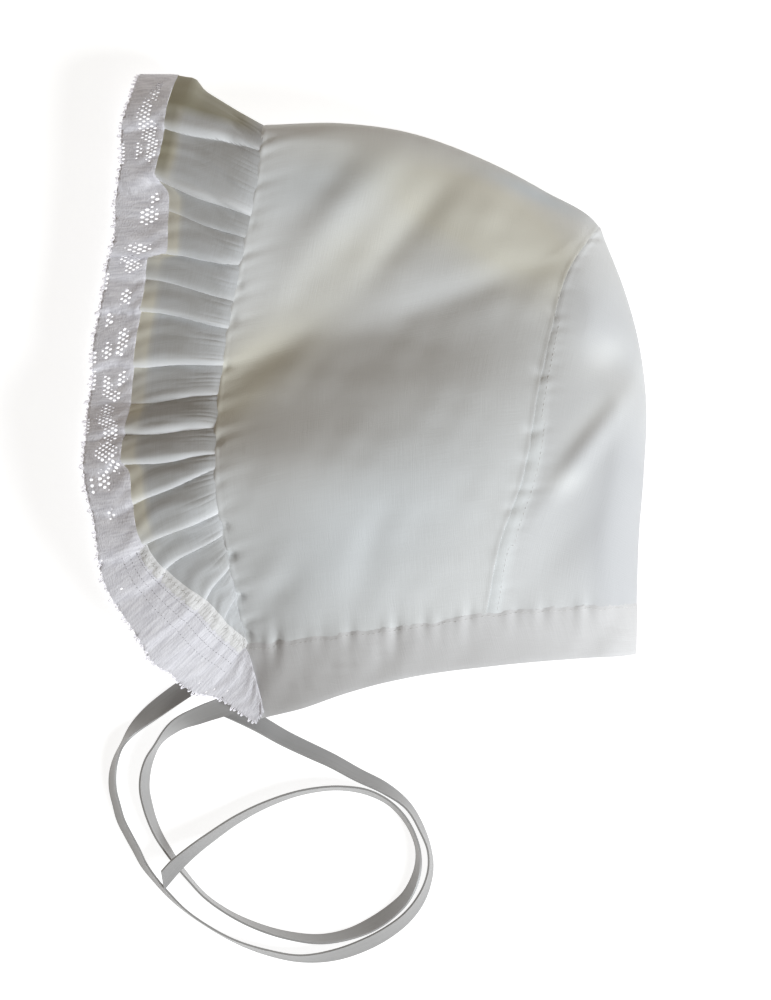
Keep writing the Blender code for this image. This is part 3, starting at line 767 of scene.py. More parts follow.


# Tints of marked places on the crown and the back panel, in order: painted brownish shade, painted bluish
# light, painted shade, painted highlights, and the whiter doubled cloth of the felled strips
CROWN_MARKS = [
    ("painted_brownish_shade", (0.76, 0.74, 0.655)),
    ("painted_bluish_light", (0.68, 0.73, 0.77)),
    ("dim", (0.60, 0.605, 0.62)),
    ("bright", (0.88, 0.89, 0.89)),
    ("felled", (0.80, 0.82, 0.83)),
]
# Tints of marked places on the frill: its turned hem, painted shade near the top fold, and its whiter doubled
# lips
FRILL_MARKS = [
    ("hemmed", (0.72, 0.69, 0.59)),
    ("painted_frill_shade", (0.30, 0.275, 0.18)),
    ("doubled", (0.96, 0.97, 0.99)),
]
BATISTE = woven_finish("batiste", (0.68, 0.68, 0.675), (0.80, 0.81, 0.815), 0.0003, 0.00008, 0.85, 0.15,
                       marks=CROWN_MARKS)
BAND_CLOTH = woven_finish("band_cloth", (0.62, 0.61, 0.61), (0.74, 0.735, 0.74), 0.0003, 0.00008, 0.85, 0.15)
# The frill's colours are darker than the crown's: its sheer cloth reflects less, and the darkness also paints
# the shade of the layers seen through it
FRILL_CLOTH = woven_finish("frill_cloth", (0.42, 0.415, 0.40), (0.64, 0.655, 0.68), 0.00026, 0.00006,
                           0.75, 0.2, 85.0, FRILL_MARKS)
HEM_CLOTH = woven_finish("hem_cloth", (0.74, 0.73, 0.72), (0.86, 0.85, 0.855), 0.0003, 0.0001, 0.8, 0.2)
# The lace's faint glow is painted light coming through its threads
LACE = lace_finish("lace", (0.38, 0.37, 0.41), (0.98, 0.97, 1.0), 0.09)
# The picots' lighter colours and stronger glow are painted light, for the light through the thin loops
PICOTS = lace_finish("picots", (0.80, 0.79, 0.83), (0.95, 0.945, 0.98), 0.36)
# The ties' dark greys are painted shade of the ribbons' sides, and their faint painted glow lightens the
# darkest parts
SATIN = satin_finish("satin", (0.26, 0.255, 0.252), (0.35, 0.345, 0.345), 0.06)
THREAD = satin_finish("thread", (0.74, 0.73, 0.72), (0.84, 0.83, 0.82))
# Short dark dashes that paint the shade of the needle holes in the lace
NEEDLE_HOLE_SHADE = satin_finish("needle_hole_shade", (0.20, 0.19, 0.20), (0.32, 0.31, 0.32))


# Camera
camera = bpy.data.objects.new("camera", bpy.data.cameras.new("camera"))
camera.location = EYE
camera.data.sensor_fit = "VERTICAL"
camera.data.sensor_height = 36.0
camera.data.lens = 135.0
camera.data.clip_start = 0.05
bpy.context.scene.collection.objects.link(camera)
bpy.context.scene.camera = camera


# Ties
def make_tie(name, node_name, route, cut):
    """Flat ribbon carried along the smooth curve through the route, leaning as stated and raised so that its
    lower edge keeps the stated height. Its free end is cut slanting by the stated length."""
    route = np.array(route)
    way = chords(route[:, :3])
    read = smooth(way, route, np.linspace(0, way[-1], RIBBON_GRID[0] + 1))
    centre, lean = read[:, :3].copy(), np.radians(read[:, 3])
    centre[:, 2] = (np.maximum(centre[:, 2], 0) + REST_GAP
                    + (RIBBON_WIDTH * np.sin(lean) + RIBBON_WALL * np.cos(lean)) / 2)
    ahead = np.gradient(centre, axis=0)
    ahead /= np.linalg.norm(ahead, axis=1, keepdims=True)
    level = np.cross(ahead, (0, 0, 1))
    level /= np.linalg.norm(level, axis=1, keepdims=True)
    upward = np.cross(level, ahead)
    flat = level * np.cos(lean)[:, None] + upward * np.sin(lean)[:, None]
    across = np.linspace(-0.5, 0.5, RIBBON_GRID[1] + 1)[None, :, None]
    middle = centre[:, None, :] + flat[:, None, :] * across * RIBBON_WIDTH
    along = chords(centre)
    past = np.clip((along - along[-1] + 2 * abs(cut)) / (2 * abs(cut)), 0, 1)[:, None, None]
    middle = middle + ahead[:, None, :] * across * cut * past
    normals = np.repeat(np.cross(ahead, flat)[:, None, :], RIBBON_GRID[1] + 1, axis=1)
    selvedge = RIBBON_WALL * (1 + 0.5 * (np.abs(across[..., 0]) > 0.45)) * np.ones_like(middle[..., 0])
    uv = np.stack([np.broadcast_to(along[:, None], middle.shape[:2]),
                   np.broadcast_to(across[..., 0] * RIBBON_WIDTH, middle.shape[:2])], axis=-1)
    made = cloth_piece(name, middle, normals, selvedge, SATIN, [node_name], uv)
    return made


make_tie("ribbon_near", "tie_near", TIE_NEAR_ROUTE, -0.0045)
make_tie("ribbon_far", "tie_far", TIE_FAR_ROUTE, 0.0004)


# Puckers of the seams in metres: depth, pitch along the seam and reach across it
BACK_PUCKERS = (0.00030, 0.0135, 0.0026)
NECK_PUCKERS = (0.00085, 0.0072, 0.0030)
FELL_PUCKERS = (0.00025, 0.0080, 0.0022)

# Grooves, ridges and hems along the seams in metres: height and half width
NECK_GROOVE = (0.00005, 0.0006)
BACK_RIDGE = (0.00027, 0.0012)
FRONT_HEM = (0.00016, 0.0006)

# Half lengths in shares of the seam and half widths in metres of the dimples along the seams
BACK_DIMPLE = (0.013, 0.0026)
FRONT_DIMPLE = (0.0080, 0.0017)


# Crown
def bump_across(kind, apart):
    """Height of a rounded ridge, of a kind with the stated height and half width."""
    height, width = kind
    return height * np.exp(-(apart / width) ** 2)


def back_seam_relief(seam_way, apart):
    """Puckers and dimples of the back seams, the same on both cloths that meet there."""
    relief = seam_puckers(BACK_PUCKERS, seam_way, apart, 2.0)
    length, width = BACK_DIMPLE
    for share, depth in SEAM_DIMPLES:
        spot = ((seam_way / SEAM_LENGTH - share) / length) ** 2 + (apart / width) ** 2
        relief = relief - depth * np.exp(-spot)
    return relief


def neck_seam_relief(way, apart):
    """Puckers and the fine groove of the seam above the band, the same on all cloths that meet there."""
    return seam_puckers(NECK_PUCKERS, way, apart, 1.1) - bump_across(NECK_GROOVE, apart)


# Where the crown's cloth has painted brownish shade, and where it has painted bluish light: centre,
# direction, half length and half width as in SOFT_FOLDS, and strength from 0 to 1
PAINTED_BROWNISH_SHADE_PLACES = [
    # along  up    turn  length width strength
    (0.560, 0.865, -24, 0.72, 0.20, 1.0),
    (0.680, 0.795, -35, 0.50, 0.22, 1.0),
    (0.350, 0.790, 30, 0.40, 0.20, 0.6),
    (0.130, 0.610, 40, 0.45, 0.20, 0.9),
    (0.030, 0.540, 60, 0.30, 0.16, 0.8),
]
# Painted bluish light: a streak along the outline near the apex, and broader patches near the top and lower
# down
PAINTED_BLUISH_LIGHT_PLACES = [
    # along  up    turn  length width strength
    (0.745, 0.880, -24, 0.30, 0.05, 0.9),
    (0.250, 0.900, 10, 0.40, 0.16, 0.4),
    (0.350, 0.330, 40, 0.90, 0.45, 0.4),
]

# The same for the back panel: painted shade where it looks darker, and painted highlights on the fold across
# it
PAINTED_SHADE_PLACES = [
    # along  up    turn  length width strength
    (0.970, 0.260, 90, 0.60, 0.20, 1.0),
    (0.910, 0.665, -50, 0.32, 0.20, 0.6),
    (0.930, 0.300, 90, 0.60, 0.30, 0.50),
    (0.800, 0.400, 60, 0.90, 0.60, 0.50),
]
# Painted highlights along the fold across the panel and on spots beside it
PAINTED_HIGHLIGHT_PLACES = [
    # along  up    turn  length width strength
    (0.880, 0.513, 43, 0.36, 0.08, 0.5),
    (0.893, 0.603, 43, 0.15, 0.10, 0.6),
    (0.800, 0.400, 20, 0.12, 0.08, 0.6),
]


FRONT_HEM_PLACE = 0.0009        # from the front seam to the middle of the hem beside it
GATHER_DEPTH = 0.0009           # gathers that run off the front seam
GATHER_PITCH = 0.0070
GATHER_REACH = 0.0036           # they fade within this, and grow within the next from the seam
GATHER_START = 0.0006
DIMPLE_PLACE = 0.0012           # from the front seam to the middle of its dimples
CRINKLE_DEPTH = 0.00016         # faint crinkles all over the cloth


def crown_sheet():
    """Cloth between the front seam and the back seam: a patch blended from its four edges, carried from the
    upper side's neck edge over the top fold to the lower side's, with its puckers along the seams."""
    across = eased(CROWN_GRID[0])[:, None]
    side = np.linspace(-1, 1, CROWN_GRID[1] + 1)[None, :]
    down = rolled(side, CROWN_SOFTNESS)
    top = fold(across * FOLD_WAY[APEX_ROW])
    neck = share_along(BAND_TOP_POINTS[:SEAM_FOOT_ROW + 1], across)
    left, right = front(down), share_along(BACK_POINTS, down)
    u, v = across[..., None], down[..., None] * np.ones_like(across)[..., None]
    corners = ((1 - u) * (1 - v) * FOLD_POINTS[0] + u * (1 - v) * FOLD_POINTS[APEX_ROW]
               + (1 - u) * v * BAND_TOP_POINTS[0] + u * v * BAND_TOP_POINTS[SEAM_FOOT_ROW])
    plan = (1 - v) * top + v * neck + (1 - u) * left + u * right - corners
    side = side + 0 * across
    middle = body_surface(plan, side)
    width = np.linalg.norm(right - left, axis=-1)
    from_front = across * width
    from_back = (1 - across) * width
    seam_way = down * SEAM_LENGTH
    above_band = (1 - down) * SEAM_LENGTH + 0 * across
    neck_way = plan[..., 0] - LEFT
    hem = bump_across(FRONT_HEM, from_front - FRONT_HEM_PLACE)
    hem = hem * (0.7 + 0.5 * waver(seam_way, 0.0043, 0.2))
    gathers = GATHER_DEPTH * puckers(seam_way + 0.25 * from_front, GATHER_PITCH, 0.4)
    gathers = gathers * (fades(from_front, GATHER_REACH) - fades(from_front, GATHER_START))
    crinkle = CRINKLE_DEPTH * waver(plan[..., 0] + 0.45 * plan[..., 1], 0.023, 0.6)
    crinkle = crinkle * waver(plan[..., 1] - 0.35 * plan[..., 0], 0.017, 2.2)
    relief = hem + gathers + crinkle + bump_across(BACK_RIDGE, from_back)
    relief = relief + back_seam_relief(seam_way, from_back) + neck_seam_relief(neck_way, above_band)
    length, width_across = FRONT_DIMPLE
    for share, depth in FRONT_DIMPLES:
        slanting = (down - share - from_front * 1.2) / length
        relief = relief - depth * np.exp(-slanting ** 2 - ((from_front - DIMPLE_PLACE) / width_across) ** 2)
    wall = BATISTE_WALL * (1 - 0.5 * fades(from_front, 0.0007) - 0.25 * fades(from_back, 0.0006))
    # Painted brownish shade and painted bluish light on the crown's cloth
    marks = [("painted_brownish_shade", tinted(plan, PAINTED_BROWNISH_SHADE_PLACES)), ("painted_bluish_light", tinted(plan, PAINTED_BLUISH_LIGHT_PLACES))]
    return *relieved(middle, grid_normals(middle), relief, side), wall, marks


crown_middle, crown_normals, crown_wall, crown_marks = crown_sheet()
crown = cloth_piece("crown_cloth", crown_middle, crown_normals, crown_wall, BATISTE, ["crown"],
                    marks=crown_marks)


# Back panel
STRIP_WIDTHS = (0.0014, 0.0044) # felled strip of doubled cloth, at the apex and at the band
STRIP_RISE = 0.00018
STRIP_SOFTNESS = 0.00030        # of the strip's edge


def panel_sheet():
    """Pointed cloth between the back seams: straight lines from the back fold to each seam, with the band's
    edge as its foot. Its outermost column is tucked under the crown, and the next lies on the seam. A felled
    strip of doubled cloth runs along each seam, wider towards the band."""
    side = np.linspace(-1, 1, PANEL_GRID[0] + 1)[:, None]
    rows = np.maximum(np.linspace(0, 1, PANEL_GRID[1] + 1), TIP_SIDE * 0.4)[None, :]
    down = rolled(rows, CROWN_SOFTNESS)
    crease = fold(FOLD_WAY[APEX_ROW] + down * (FOLD_WAY[NECK_ROW] - FOLD_WAY[APEX_ROW]))
    seam = share_along(BACK_POINTS, down)
    width = np.linalg.norm(seam - crease, axis=-1)
    reach = rolled(side, 0.25)
    foot = share_along(BAND_TOP_POINTS[SEAM_FOOT_ROW:], 1 - reach)
    straight = (BAND_TOP_POINTS[SEAM_FOOT_ROW] * reach[..., None]
                + BAND_TOP_POINTS[-1] * (1 - reach[..., None]))
    side = side + 0 * down
    column = np.arange(PANEL_GRID[0] + 1)[:, None]
    from_edge = np.minimum(column, PANEL_GRID[0] - column)
    reach = np.where(from_edge == 1, 1, reach + 0 * down)
    reach = np.where(from_edge == 0, 1 + TUCK / width, reach)
    plan = crease + (seam - crease) * reach[..., None] + down[..., None] * (foot - straight)
    middle = body_surface(plan, side)
    from_seam = (1 - reach) * width
    seam_way = down * SEAM_LENGTH
    above_band = (1 - down) * SEAM_LENGTH
    strip_width = STRIP_WIDTHS[0] + (STRIP_WIDTHS[1] - STRIP_WIDTHS[0]) * np.clip((down - 0.25) / 0.35, 0, 1)
    felled = 1 / (1 + np.exp((from_seam - strip_width) / STRIP_SOFTNESS))
    strip = STRIP_RISE * felled * (1 - 0.4 * np.exp(-(from_seam / 0.0005) ** 2))
    tucked = np.where(from_edge == 0, -BATISTE_WALL, 0)
    beside = seam_puckers(FELL_PUCKERS, seam_way, from_seam - strip_width, 0.3)
    relief = (strip + tucked + beside + back_seam_relief(seam_way, from_seam)
              + neck_seam_relief(plan[..., 0] - LEFT, above_band))
    felled = felled * np.clip((down - 0.3) / 0.3, 0, 1)
    wall = BATISTE_WALL * (1 - 0.25 * fades(np.maximum(from_seam, 0), 0.0006))
    # Painted shade and painted highlights on the panel, and its whiter doubled felled strips
    marks = [("dim", tinted(plan, PAINTED_SHADE_PLACES)), ("bright", tinted(plan, PAINTED_HIGHLIGHT_PLACES)), ("felled", felled)]
    return *relieved(middle, -grid_normals(middle), relief, side), wall, from_seam, strip_width, marks


panel_middle, panel_normals, panel_wall, panel_from_seam, panel_strip, panel_marks = panel_sheet()
panel = cloth_piece("back_panel_cloth", panel_middle, panel_normals, panel_wall, BATISTE,
                    ["back_panel"], marks=panel_marks)


# Neck band
CREASE_DEPTH = 0.00042          # slanting creases of the doubled cloth
SMALL_CREASE_DEPTH = 0.00022
FOOT_ROUNDING = (0.00035, 0.0008)   # fall of the cloth at the folded foot, and its reach


def band_sheet():
    """Band along the neck edge, from the upper side's front corner round the back fold to the lower one, with
    puckers along its stitched upper edge and a rounded fold at its foot."""
    side = np.linspace(-1, 1, BAND_GRID[0] + 1)[:, None]
    down = np.linspace(0, 1, BAND_GRID[1] + 1)[None, :]
    along = 1 - rolled(side, 0.12)
    top = share_along(BAND_TOP_POINTS, along)
    foot = share_along(BAND_FOOT_POINTS, along)
    wander = 0.022 * waver(along, 0.085, 0.8)
    plan = top + (foot - top) * (down - (0.035 + wander) * (1 - down))[..., None]
    side = side + 0 * down
    middle = body_surface(plan, side)
    height = np.linalg.norm(foot - top, axis=-1)
    from_top = down * height
    from_foot = (1 - down) * height
    way = plan[..., 0] - LEFT
    creases = CREASE_DEPTH * puckers(way + 0.5 * from_top, 0.021, 0.6) * np.sin(np.pi * down) ** 0.7
    smaller = SMALL_CREASE_DEPTH * puckers(way - 1.3 * from_top, 0.0105, 2.4) * np.sin(np.pi * down)
    smaller = smaller * puckers(from_top + 0.35 * way, 0.0090, 0.8)
    rounded = -FOOT_ROUNDING[0] * fades(from_foot, FOOT_ROUNDING[1])
    relief = neck_seam_relief(way, from_top) + creases + smaller + rounded
    wall = BAND_EDGE + (BAND_WALL - BAND_EDGE) * (1 - fades(from_top, 0.0012))
    return *relieved(middle, -grid_normals(middle), relief, side), wall


band_middle, band_normals, band_wall = band_sheet()
band = cloth_piece("neck_band_cloth", band_middle, band_normals, band_wall, BAND_CLOTH,
                   ["neck_band"])


# Frill
PINCH_DEPTH = 0.00040           # small gathers beside the front seam
CRUMPLE_DEPTH = 0.00022         # small uneven folds all over the frill and the lace
BAND_LIFT = 0.0015              # by which the upper lace lies over the band


def ruffle_row(share):
    """Directions and reaches of the frill and the lace at a share of the seam's length. The edge between
    them jumps at each pleat of the table, by a step that fades away on both sides."""
    table = np.array(RUFFLE)
    frill_angle, frill_reach, lace_angle, lace_reach = np.moveaxis(
        smooth(table[:, 0], table[:, 1:], share), -1, 0)
    frill_reach = frill_reach * FRILL_WIDTH
    lace_reach = np.maximum(lace_reach, 0) * LACE_WIDTH
    for centre, jump, length in EDGE_JUMPS:
        apart = share - centre
        step = jump * FRILL_WIDTH / 2 * np.tanh(apart / 0.006) * np.exp(-(apart / length) ** 2)
        frill_reach = frill_reach + step
        lace_reach = lace_reach - step
    frill_turn, lace_turn = np.radians(frill_angle), np.radians(lace_angle)
    frill_way = np.stack([-np.cos(frill_turn), np.sin(frill_turn)], axis=-1)
    lace_way = np.stack([-np.cos(lace_turn), np.sin(lace_turn)], axis=-1)
    return frill_way, frill_reach, lace_way, lace_reach


def gathered(share, out):
    """Height of the frill's folds, and how near each place is to a doubled lip. Between two lips the cloth
    rises as a parabola to its top, and falls with the third power of the distance to the next lip."""
    outer = np.clip(out, 0, 1)
    share = share + 0.004 * np.sin(5 * out + 14 * share) * outer
    height, doubled = 0 * share, 0 * share
    for before, after in zip(FRILL_LIPS[:-1], FRILL_LIPS[1:]):
        start = before[0] + before[1] * outer
        part = (share - start) / (after[0] + after[1] * outer - start)
        rise = 1 - np.clip(1 - part / after[4], 0, 1) ** 2
        fall = 1 - np.clip((part - after[4]) / (1 - after[4]), 0, 1) ** 3
        tall = after[2] + (after[3] - after[2]) * outer
        within = (part >= 0) & (part < 1)
        height = np.where(within, tall * rise * fall, height)
        doubled = np.where(within, (0.5 + 0.5 * tall) * np.clip(part, 0, 1) ** 9, doubled)
    swell = (1 - np.exp(-np.clip(out, 0, None) / 0.12)) * np.clip(1.2 - 0.4 * out, 0.4, 1)
    return FRILL_FOLD * height * swell, np.clip(doubled, 0, 1)


def ruffle_layer(side, out):
    """Middle of one layer of the ruffle: out runs from 0 at the seam to 1 at the lace and 2 at the lace's
    edge, the height sinks with it, and the folds stand up from the surface that this makes. Past the seam's
    end the upper layer lies over the band."""
    share = rolled(side, RUFFLE_SOFTNESS)
    seam = body_surface(front(share), side)
    frill_way, frill_reach, lace_way, lace_reach = ruffle_row(share)
    frill_out = np.clip(out, 0, 1) * (frill_reach + TUCK) - TUCK
    lace_out = np.clip(out - 1, 0, None) * lace_reach
    plan = seam[..., :2] + frill_way * frill_out[..., None] + lace_way * lace_out[..., None]
    spread = (frill_out + lace_out) / (FRILL_WIDTH + LACE_WIDTH)
    rest = REST_WALL / 2
    roll = 1 - TOP_DROP * np.exp(-(share / 0.045) ** 2) * np.clip(3 * out, 0, 1)
    height = rest + (seam[..., 2] - rest) * (1 - SINK * spread) * roll
    height = height + np.where(side < 0, 0, HEM_ROOM) * np.clip(out, 0, 1)
    over_band = np.clip((share - 1) / 0.02, 0, 1) * (side < 0)
    height = height + BAND_LIFT * over_band * np.exp(-lace_out / 0.003)
    base = np.concatenate([plan, height[..., None]], axis=-1)
    outward = grid_normals(base)
    lift, doubled = gathered(share, out)
    seam_way = share * SEAM_LENGTH
    pinch = PINCH_DEPTH * waver(seam_way, 0.0036, 0.9) * fades(out, 0.20) * (1 - fades(out, 0.03))
    crumple = CRUMPLE_DEPTH * waver(seam_way + 0.004 * np.sin(3 * out), 0.0058, 2.1 + 2.2 * out)
    lift = lift + np.abs(pinch) + crumple * np.clip(4 * out, 0, 1)
    lift = lift * (1 - np.exp(-(side / 0.04) ** 2))
    bulge = TOP_BULGE * np.exp(-((out - 0.84) / 0.09) ** 2 - (side / 0.08) ** 2)
    return base + outward * (np.where(side < 0, lift, -np.abs(lift)) + bulge)[..., None], doubled


def ruffle_surface(side, out):
    """Middle and normals of the ruffle, for rows that run alike from the upper side's end and the lower
    side's. The lower layer spreads out until its outer part lies behind the upper layer as seen from EYE, so
    that the holes of the lace line up."""
    middle, doubled = ruffle_layer(side, out)
    upper = middle[::-1].copy()
    eye = np.array(EYE)
    onward = (eye[2] - middle[..., 2:]) / (eye[2] - upper[..., 2:])
    behind = eye[:2] + (upper[..., :2] - eye[:2]) * onward
    part = (np.clip(out, 0, 1) * (side > 0))[..., None]
    middle[..., :2] += (behind - middle[..., :2]) * part ** 2 * (3 - 2 * part)
    return middle, grid_normals(middle), doubled


def frill_sheet():
    """The ruffle's cloth, with its doubled lips, the turned hem along the lace, and painted shade near the
    top fold and on a strip beside the lace there marked."""
    side = np.linspace(-1, 1, FRILL_GRID[0] + 1)[:, None]
    out = np.linspace(0, 1.02, FRILL_GRID[1] + 1)[None, :]
    side, out = side + 0 * out, out + 0 * side
    share = rolled(side, RUFFLE_SOFTNESS)
    uneven = 0.75 + 0.4 * waver(share * SEAM_LENGTH, 0.021, 1.4)
    hemmed = np.clip((out - 0.82) / 0.02, 0, 1) * np.clip((0.76 - share) / 0.03, 0, 1) * np.clip(uneven, 0, 1)
    # Painted shade where the top fold rolls away from the light, and the same dark tint on a strip beside the
    # lace there
    along_top = np.clip((0.036 + 0.036 * out - share) / 0.016, 0, 1) * np.clip(4 * out, 0, 1)
    beside_lace = 0.7 * np.clip((out - 0.86) / 0.03, 0, 1) * np.clip((0.185 - share) / 0.01, 0, 1)
    wall = FRILL_WALL * (1 - 0.8 * np.clip((out - 0.93) / 0.07, 0, 1))
    return *ruffle_surface(side, out), wall, hemmed, np.maximum(0.85 * along_top, beside_lace)


frill_middle, frill_normals, frill_crest, frill_wall, frill_hemmed, frill_shaded = frill_sheet()
frill = cloth_piece("frill_cloth", frill_middle, frill_normals, frill_wall, FRILL_CLOTH,
                    ["frill"], marks=[("doubled", frill_crest), ("hemmed", frill_hemmed),
                                      ("painted_frill_shade", frill_shaded)])


# Lace
HEADING = 0.12                  # share of the lace's width that is its plain heading, sewn to the frill
WIDEST_CELL = 0.66              # opening of a cell as a share of its size
HOLE_LENGTH = 0.85              # by which the holes are narrowed along the lace
HOLE_WIDTH = 1.30               # and widened across it
LACE_OPENINGS = [
    # along  across length width, all in shares of the seam's length or of the lace's width
    (0.035, 0.38, 0.020, 0.13),
    (0.072, 0.52, 0.026, 0.17),
    (0.098, 0.38, 0.018, 0.20),
    (0.130, 0.24, 0.026, 0.14),
    (0.133, 0.57, 0.016, 0.09),
    (0.135, 0.93, 0.020, 0.05),
    (0.201, 0.30, 0.008, 0.10),
    (0.225, 0.38, 0.014, 0.18),
    (0.275, 0.52, 0.009, 0.24),
    (0.300, 0.62, 0.014, 0.12),
    (0.318, 0.36, 0.012, 0.22),
    (0.335, 0.93, 0.020, 0.05),
    (0.367, 0.40, 0.011, 0.14),
    (0.395, 0.76, 0.012, 0.09),
    (0.428, 0.34, 0.022, 0.14),
    (0.437, 0.68, 0.013, 0.11),
    (0.440, 0.93, 0.016, 0.05),
    (0.480, 0.27, 0.011, 0.13),
    (0.480, 0.93, 0.018, 0.05),
    (0.490, 0.62, 0.018, 0.13),
    (0.507, 0.40, 0.009, 0.15),
    (0.545, 0.56, 0.026, 0.22),
    (0.560, 0.93, 0.020, 0.05),
    (0.580, 0.34, 0.022, 0.18),
    (0.612, 0.42, 0.016, 0.30),
    (0.631, 0.27, 0.011, 0.15),
    (0.648, 0.58, 0.013, 0.15),
    (0.651, 0.90, 0.012, 0.06),
    (0.686, 0.56, 0.006, 0.10),
]


def openness(share, across):
    """How far each cell of the net is open: clusters of open cells with uneven borders, each cluster an
    ellipse of the table, and a few small specks in the closed lace near the corner."""
    near = 0 * share
    for centre, level, length, breadth in LACE_OPENINGS:
        near = np.maximum(near, 1.3 - ((share - centre) / length) ** 2 - ((across - level) / breadth) ** 2)
    uneven = 0.84 + 0.16 * np.sin(1700 * share) * np.sin(23 * across + 90 * share)
    specks = 0.36 * (np.sin(263 * share) * np.sin(37 * across + 120 * share) > 0.93) * (share > 0.66)
    specks = specks * (across > 0.68)
    open_ = np.maximum(WIDEST_CELL * np.clip(2 * near, 0, 1) * uneven, specks)
    return np.where(across < HEADING, 0, open_)


def lace_net():
    """Net of six-sided cells along the lace. The corners are a lattice whose rows zigzag, each cell keeps a
    ring of thread round its opening, and closed cells are small mounds."""
    columns, rows = NET_CELLS
    i = np.arange(2 * columns + 3)[:, None]
    j = np.arange(rows + 1)[None, :]
    zigzag = np.where((i + j) % 2 == 0, 1, -1) / 6 * np.where(j == 0, 0, np.where(j == rows, 0.3, 1))
    apart = np.abs(i - columns - 1)
    point = np.where((j == rows) & (apart % 3 == 0), 0.30, 0) * (0.8 + 0.5 * np.sin(1.9 * apart))
    scallop = 0.30 * np.sin(2 * np.pi * apart / 31) * (j / rows) ** 3
    reach_along = unrolled(BAND_END)
    side = reach_along * (i - columns - 1) / (columns + 1) + 0 * j
    out = 1 + (j + zigzag + point + scallop) / rows
    middle, normals, _ = ruffle_surface(side, out)
    share = rolled(side, RUFFLE_SOFTNESS)
    lattice = np.arange(middle[..., 0].size).reshape(middle.shape[:2])
    c = np.arange(columns)[:, None]
    r = np.arange(rows)[None, :]
    first = 2 * c + r % 2
    cells = np.stack([lattice[first, r], lattice[first + 1, r], lattice[first + 2, r],
                      lattice[first + 2, r + 1], lattice[first + 1, r + 1], lattice[first, r + 1]], axis=-1)
    cells = cells.reshape(-1, 6)
    flat_middle, flat_normals = middle.reshape(-1, 3), normals.reshape(-1, 3)
    way = np.sign(side) * share * SEAM_LENGTH
    uv = np.stack([way, (out - 1) * LACE_WIDTH], axis=-1).reshape(-1, 2)
    centre = flat_middle[cells].mean(axis=1)
    centre_normal = flat_normals[cells].mean(axis=1)
    centre_uv = uv[cells].mean(axis=1)
    across = centre_uv[:, 1] / LACE_WIDTH
    open_ = openness(share.reshape(-1)[cells].mean(axis=1), across)
    pierced = open_ > 0.22
    holes, solid = cells[pierced], cells[~pierced]
    corner_lift = np.where(j == 0, 0.0001, LACE_WALL / 2) + 0 * side
    parts = [(flat_middle, flat_normals, corner_lift.ravel(), uv)]
    corners = flat_middle[holes]
    lengthwise = (corners[:, 2] + corners[:, 3] - corners[:, 0] - corners[:, 5]) / 2
    endwise = np.array([-0.5, 0, 0.5, 0.5, 0, -0.5])[None, :, None] * lengthwise[:, None]
    crosswise = corners - centre[pierced][:, None] - endwise
    opened = open_[pierced][:, None, None]
    ring = centre[pierced][:, None] + opened * (endwise * HOLE_LENGTH + crosswise * HOLE_WIDTH)
    ring = ring.reshape(-1, 3)
    ring_normal = np.repeat(centre_normal[pierced], 6, axis=0)
    ring_uv = centre_uv[pierced][:, None] + opened * (uv[holes] - centre_uv[pierced][:, None])
    parts.append((ring, ring_normal, LACE_WALL * 0.42, ring_uv.reshape(-1, 2)))
    mound_lift = np.where(across[~pierced] < HEADING, 0.5, 0.85) * LACE_WALL
    parts.append((centre[~pierced], centre_normal[~pierced], mound_lift, centre_uv[~pierced]))
    points = np.concatenate([part[0] for part in parts])
    normal = np.concatenate([part[1] for part in parts])
    lift = np.concatenate([np.broadcast_to(part[2], len(part[0])) for part in parts])[:, None]
    total = len(points)
    skins = np.concatenate([points + normal * lift, points - normal * lift])
    inner = len(flat_middle) + np.arange(len(ring)).reshape(-1, 6)
    mound = len(flat_middle) + len(ring) + np.arange(len(solid))
    after, inner_after = np.roll(holes, -1, axis=1), np.roll(inner, -1, axis=1)
    front_quads = np.stack([holes, after, inner_after, inner], axis=-1).reshape(-1, 4)
    walls = np.stack([inner, inner_after, inner_after + total, inner + total], axis=-1).reshape(-1, 4)
    solid_after = np.roll(solid, -1, axis=1)
    front_tris = np.stack([solid, solid_after, np.repeat(mound[:, None], 6, axis=1)], axis=-1).reshape(-1, 3)
    begin, end = cells.ravel(), np.roll(cells, -1, axis=1).ravel()
    size = len(flat_middle)
    edge = ~np.isin(begin * size + end, end * size + begin)
    rim = np.stack([end[edge], begin[edge], begin[edge] + total, end[edge] + total], axis=-1)
    faces = [front_quads, front_quads[:, ::-1] + total, walls, front_tris, front_tris[:, ::-1] + total, rim]
    return (skins, faces, np.tile(np.concatenate([part[3] for part in parts]), (2, 1)),
            middle[:, -1], middle[:, -1] - middle[:, -2], normals[:, -1])


net_points, net_faces, net_uv, edge_line, edge_way, edge_normal = lace_net()
lace = make_piece("lace_net", net_points, net_faces, net_uv, LACE, ["lace_edging"])


PICOT_PITCH = 0.00135
PICOT_FOOT = 0.0004             # by which a loop begins inside the lace's edge
PICOT_HALF_WIDTH = 0.0003
PICOT_RADIUS = 0.00016


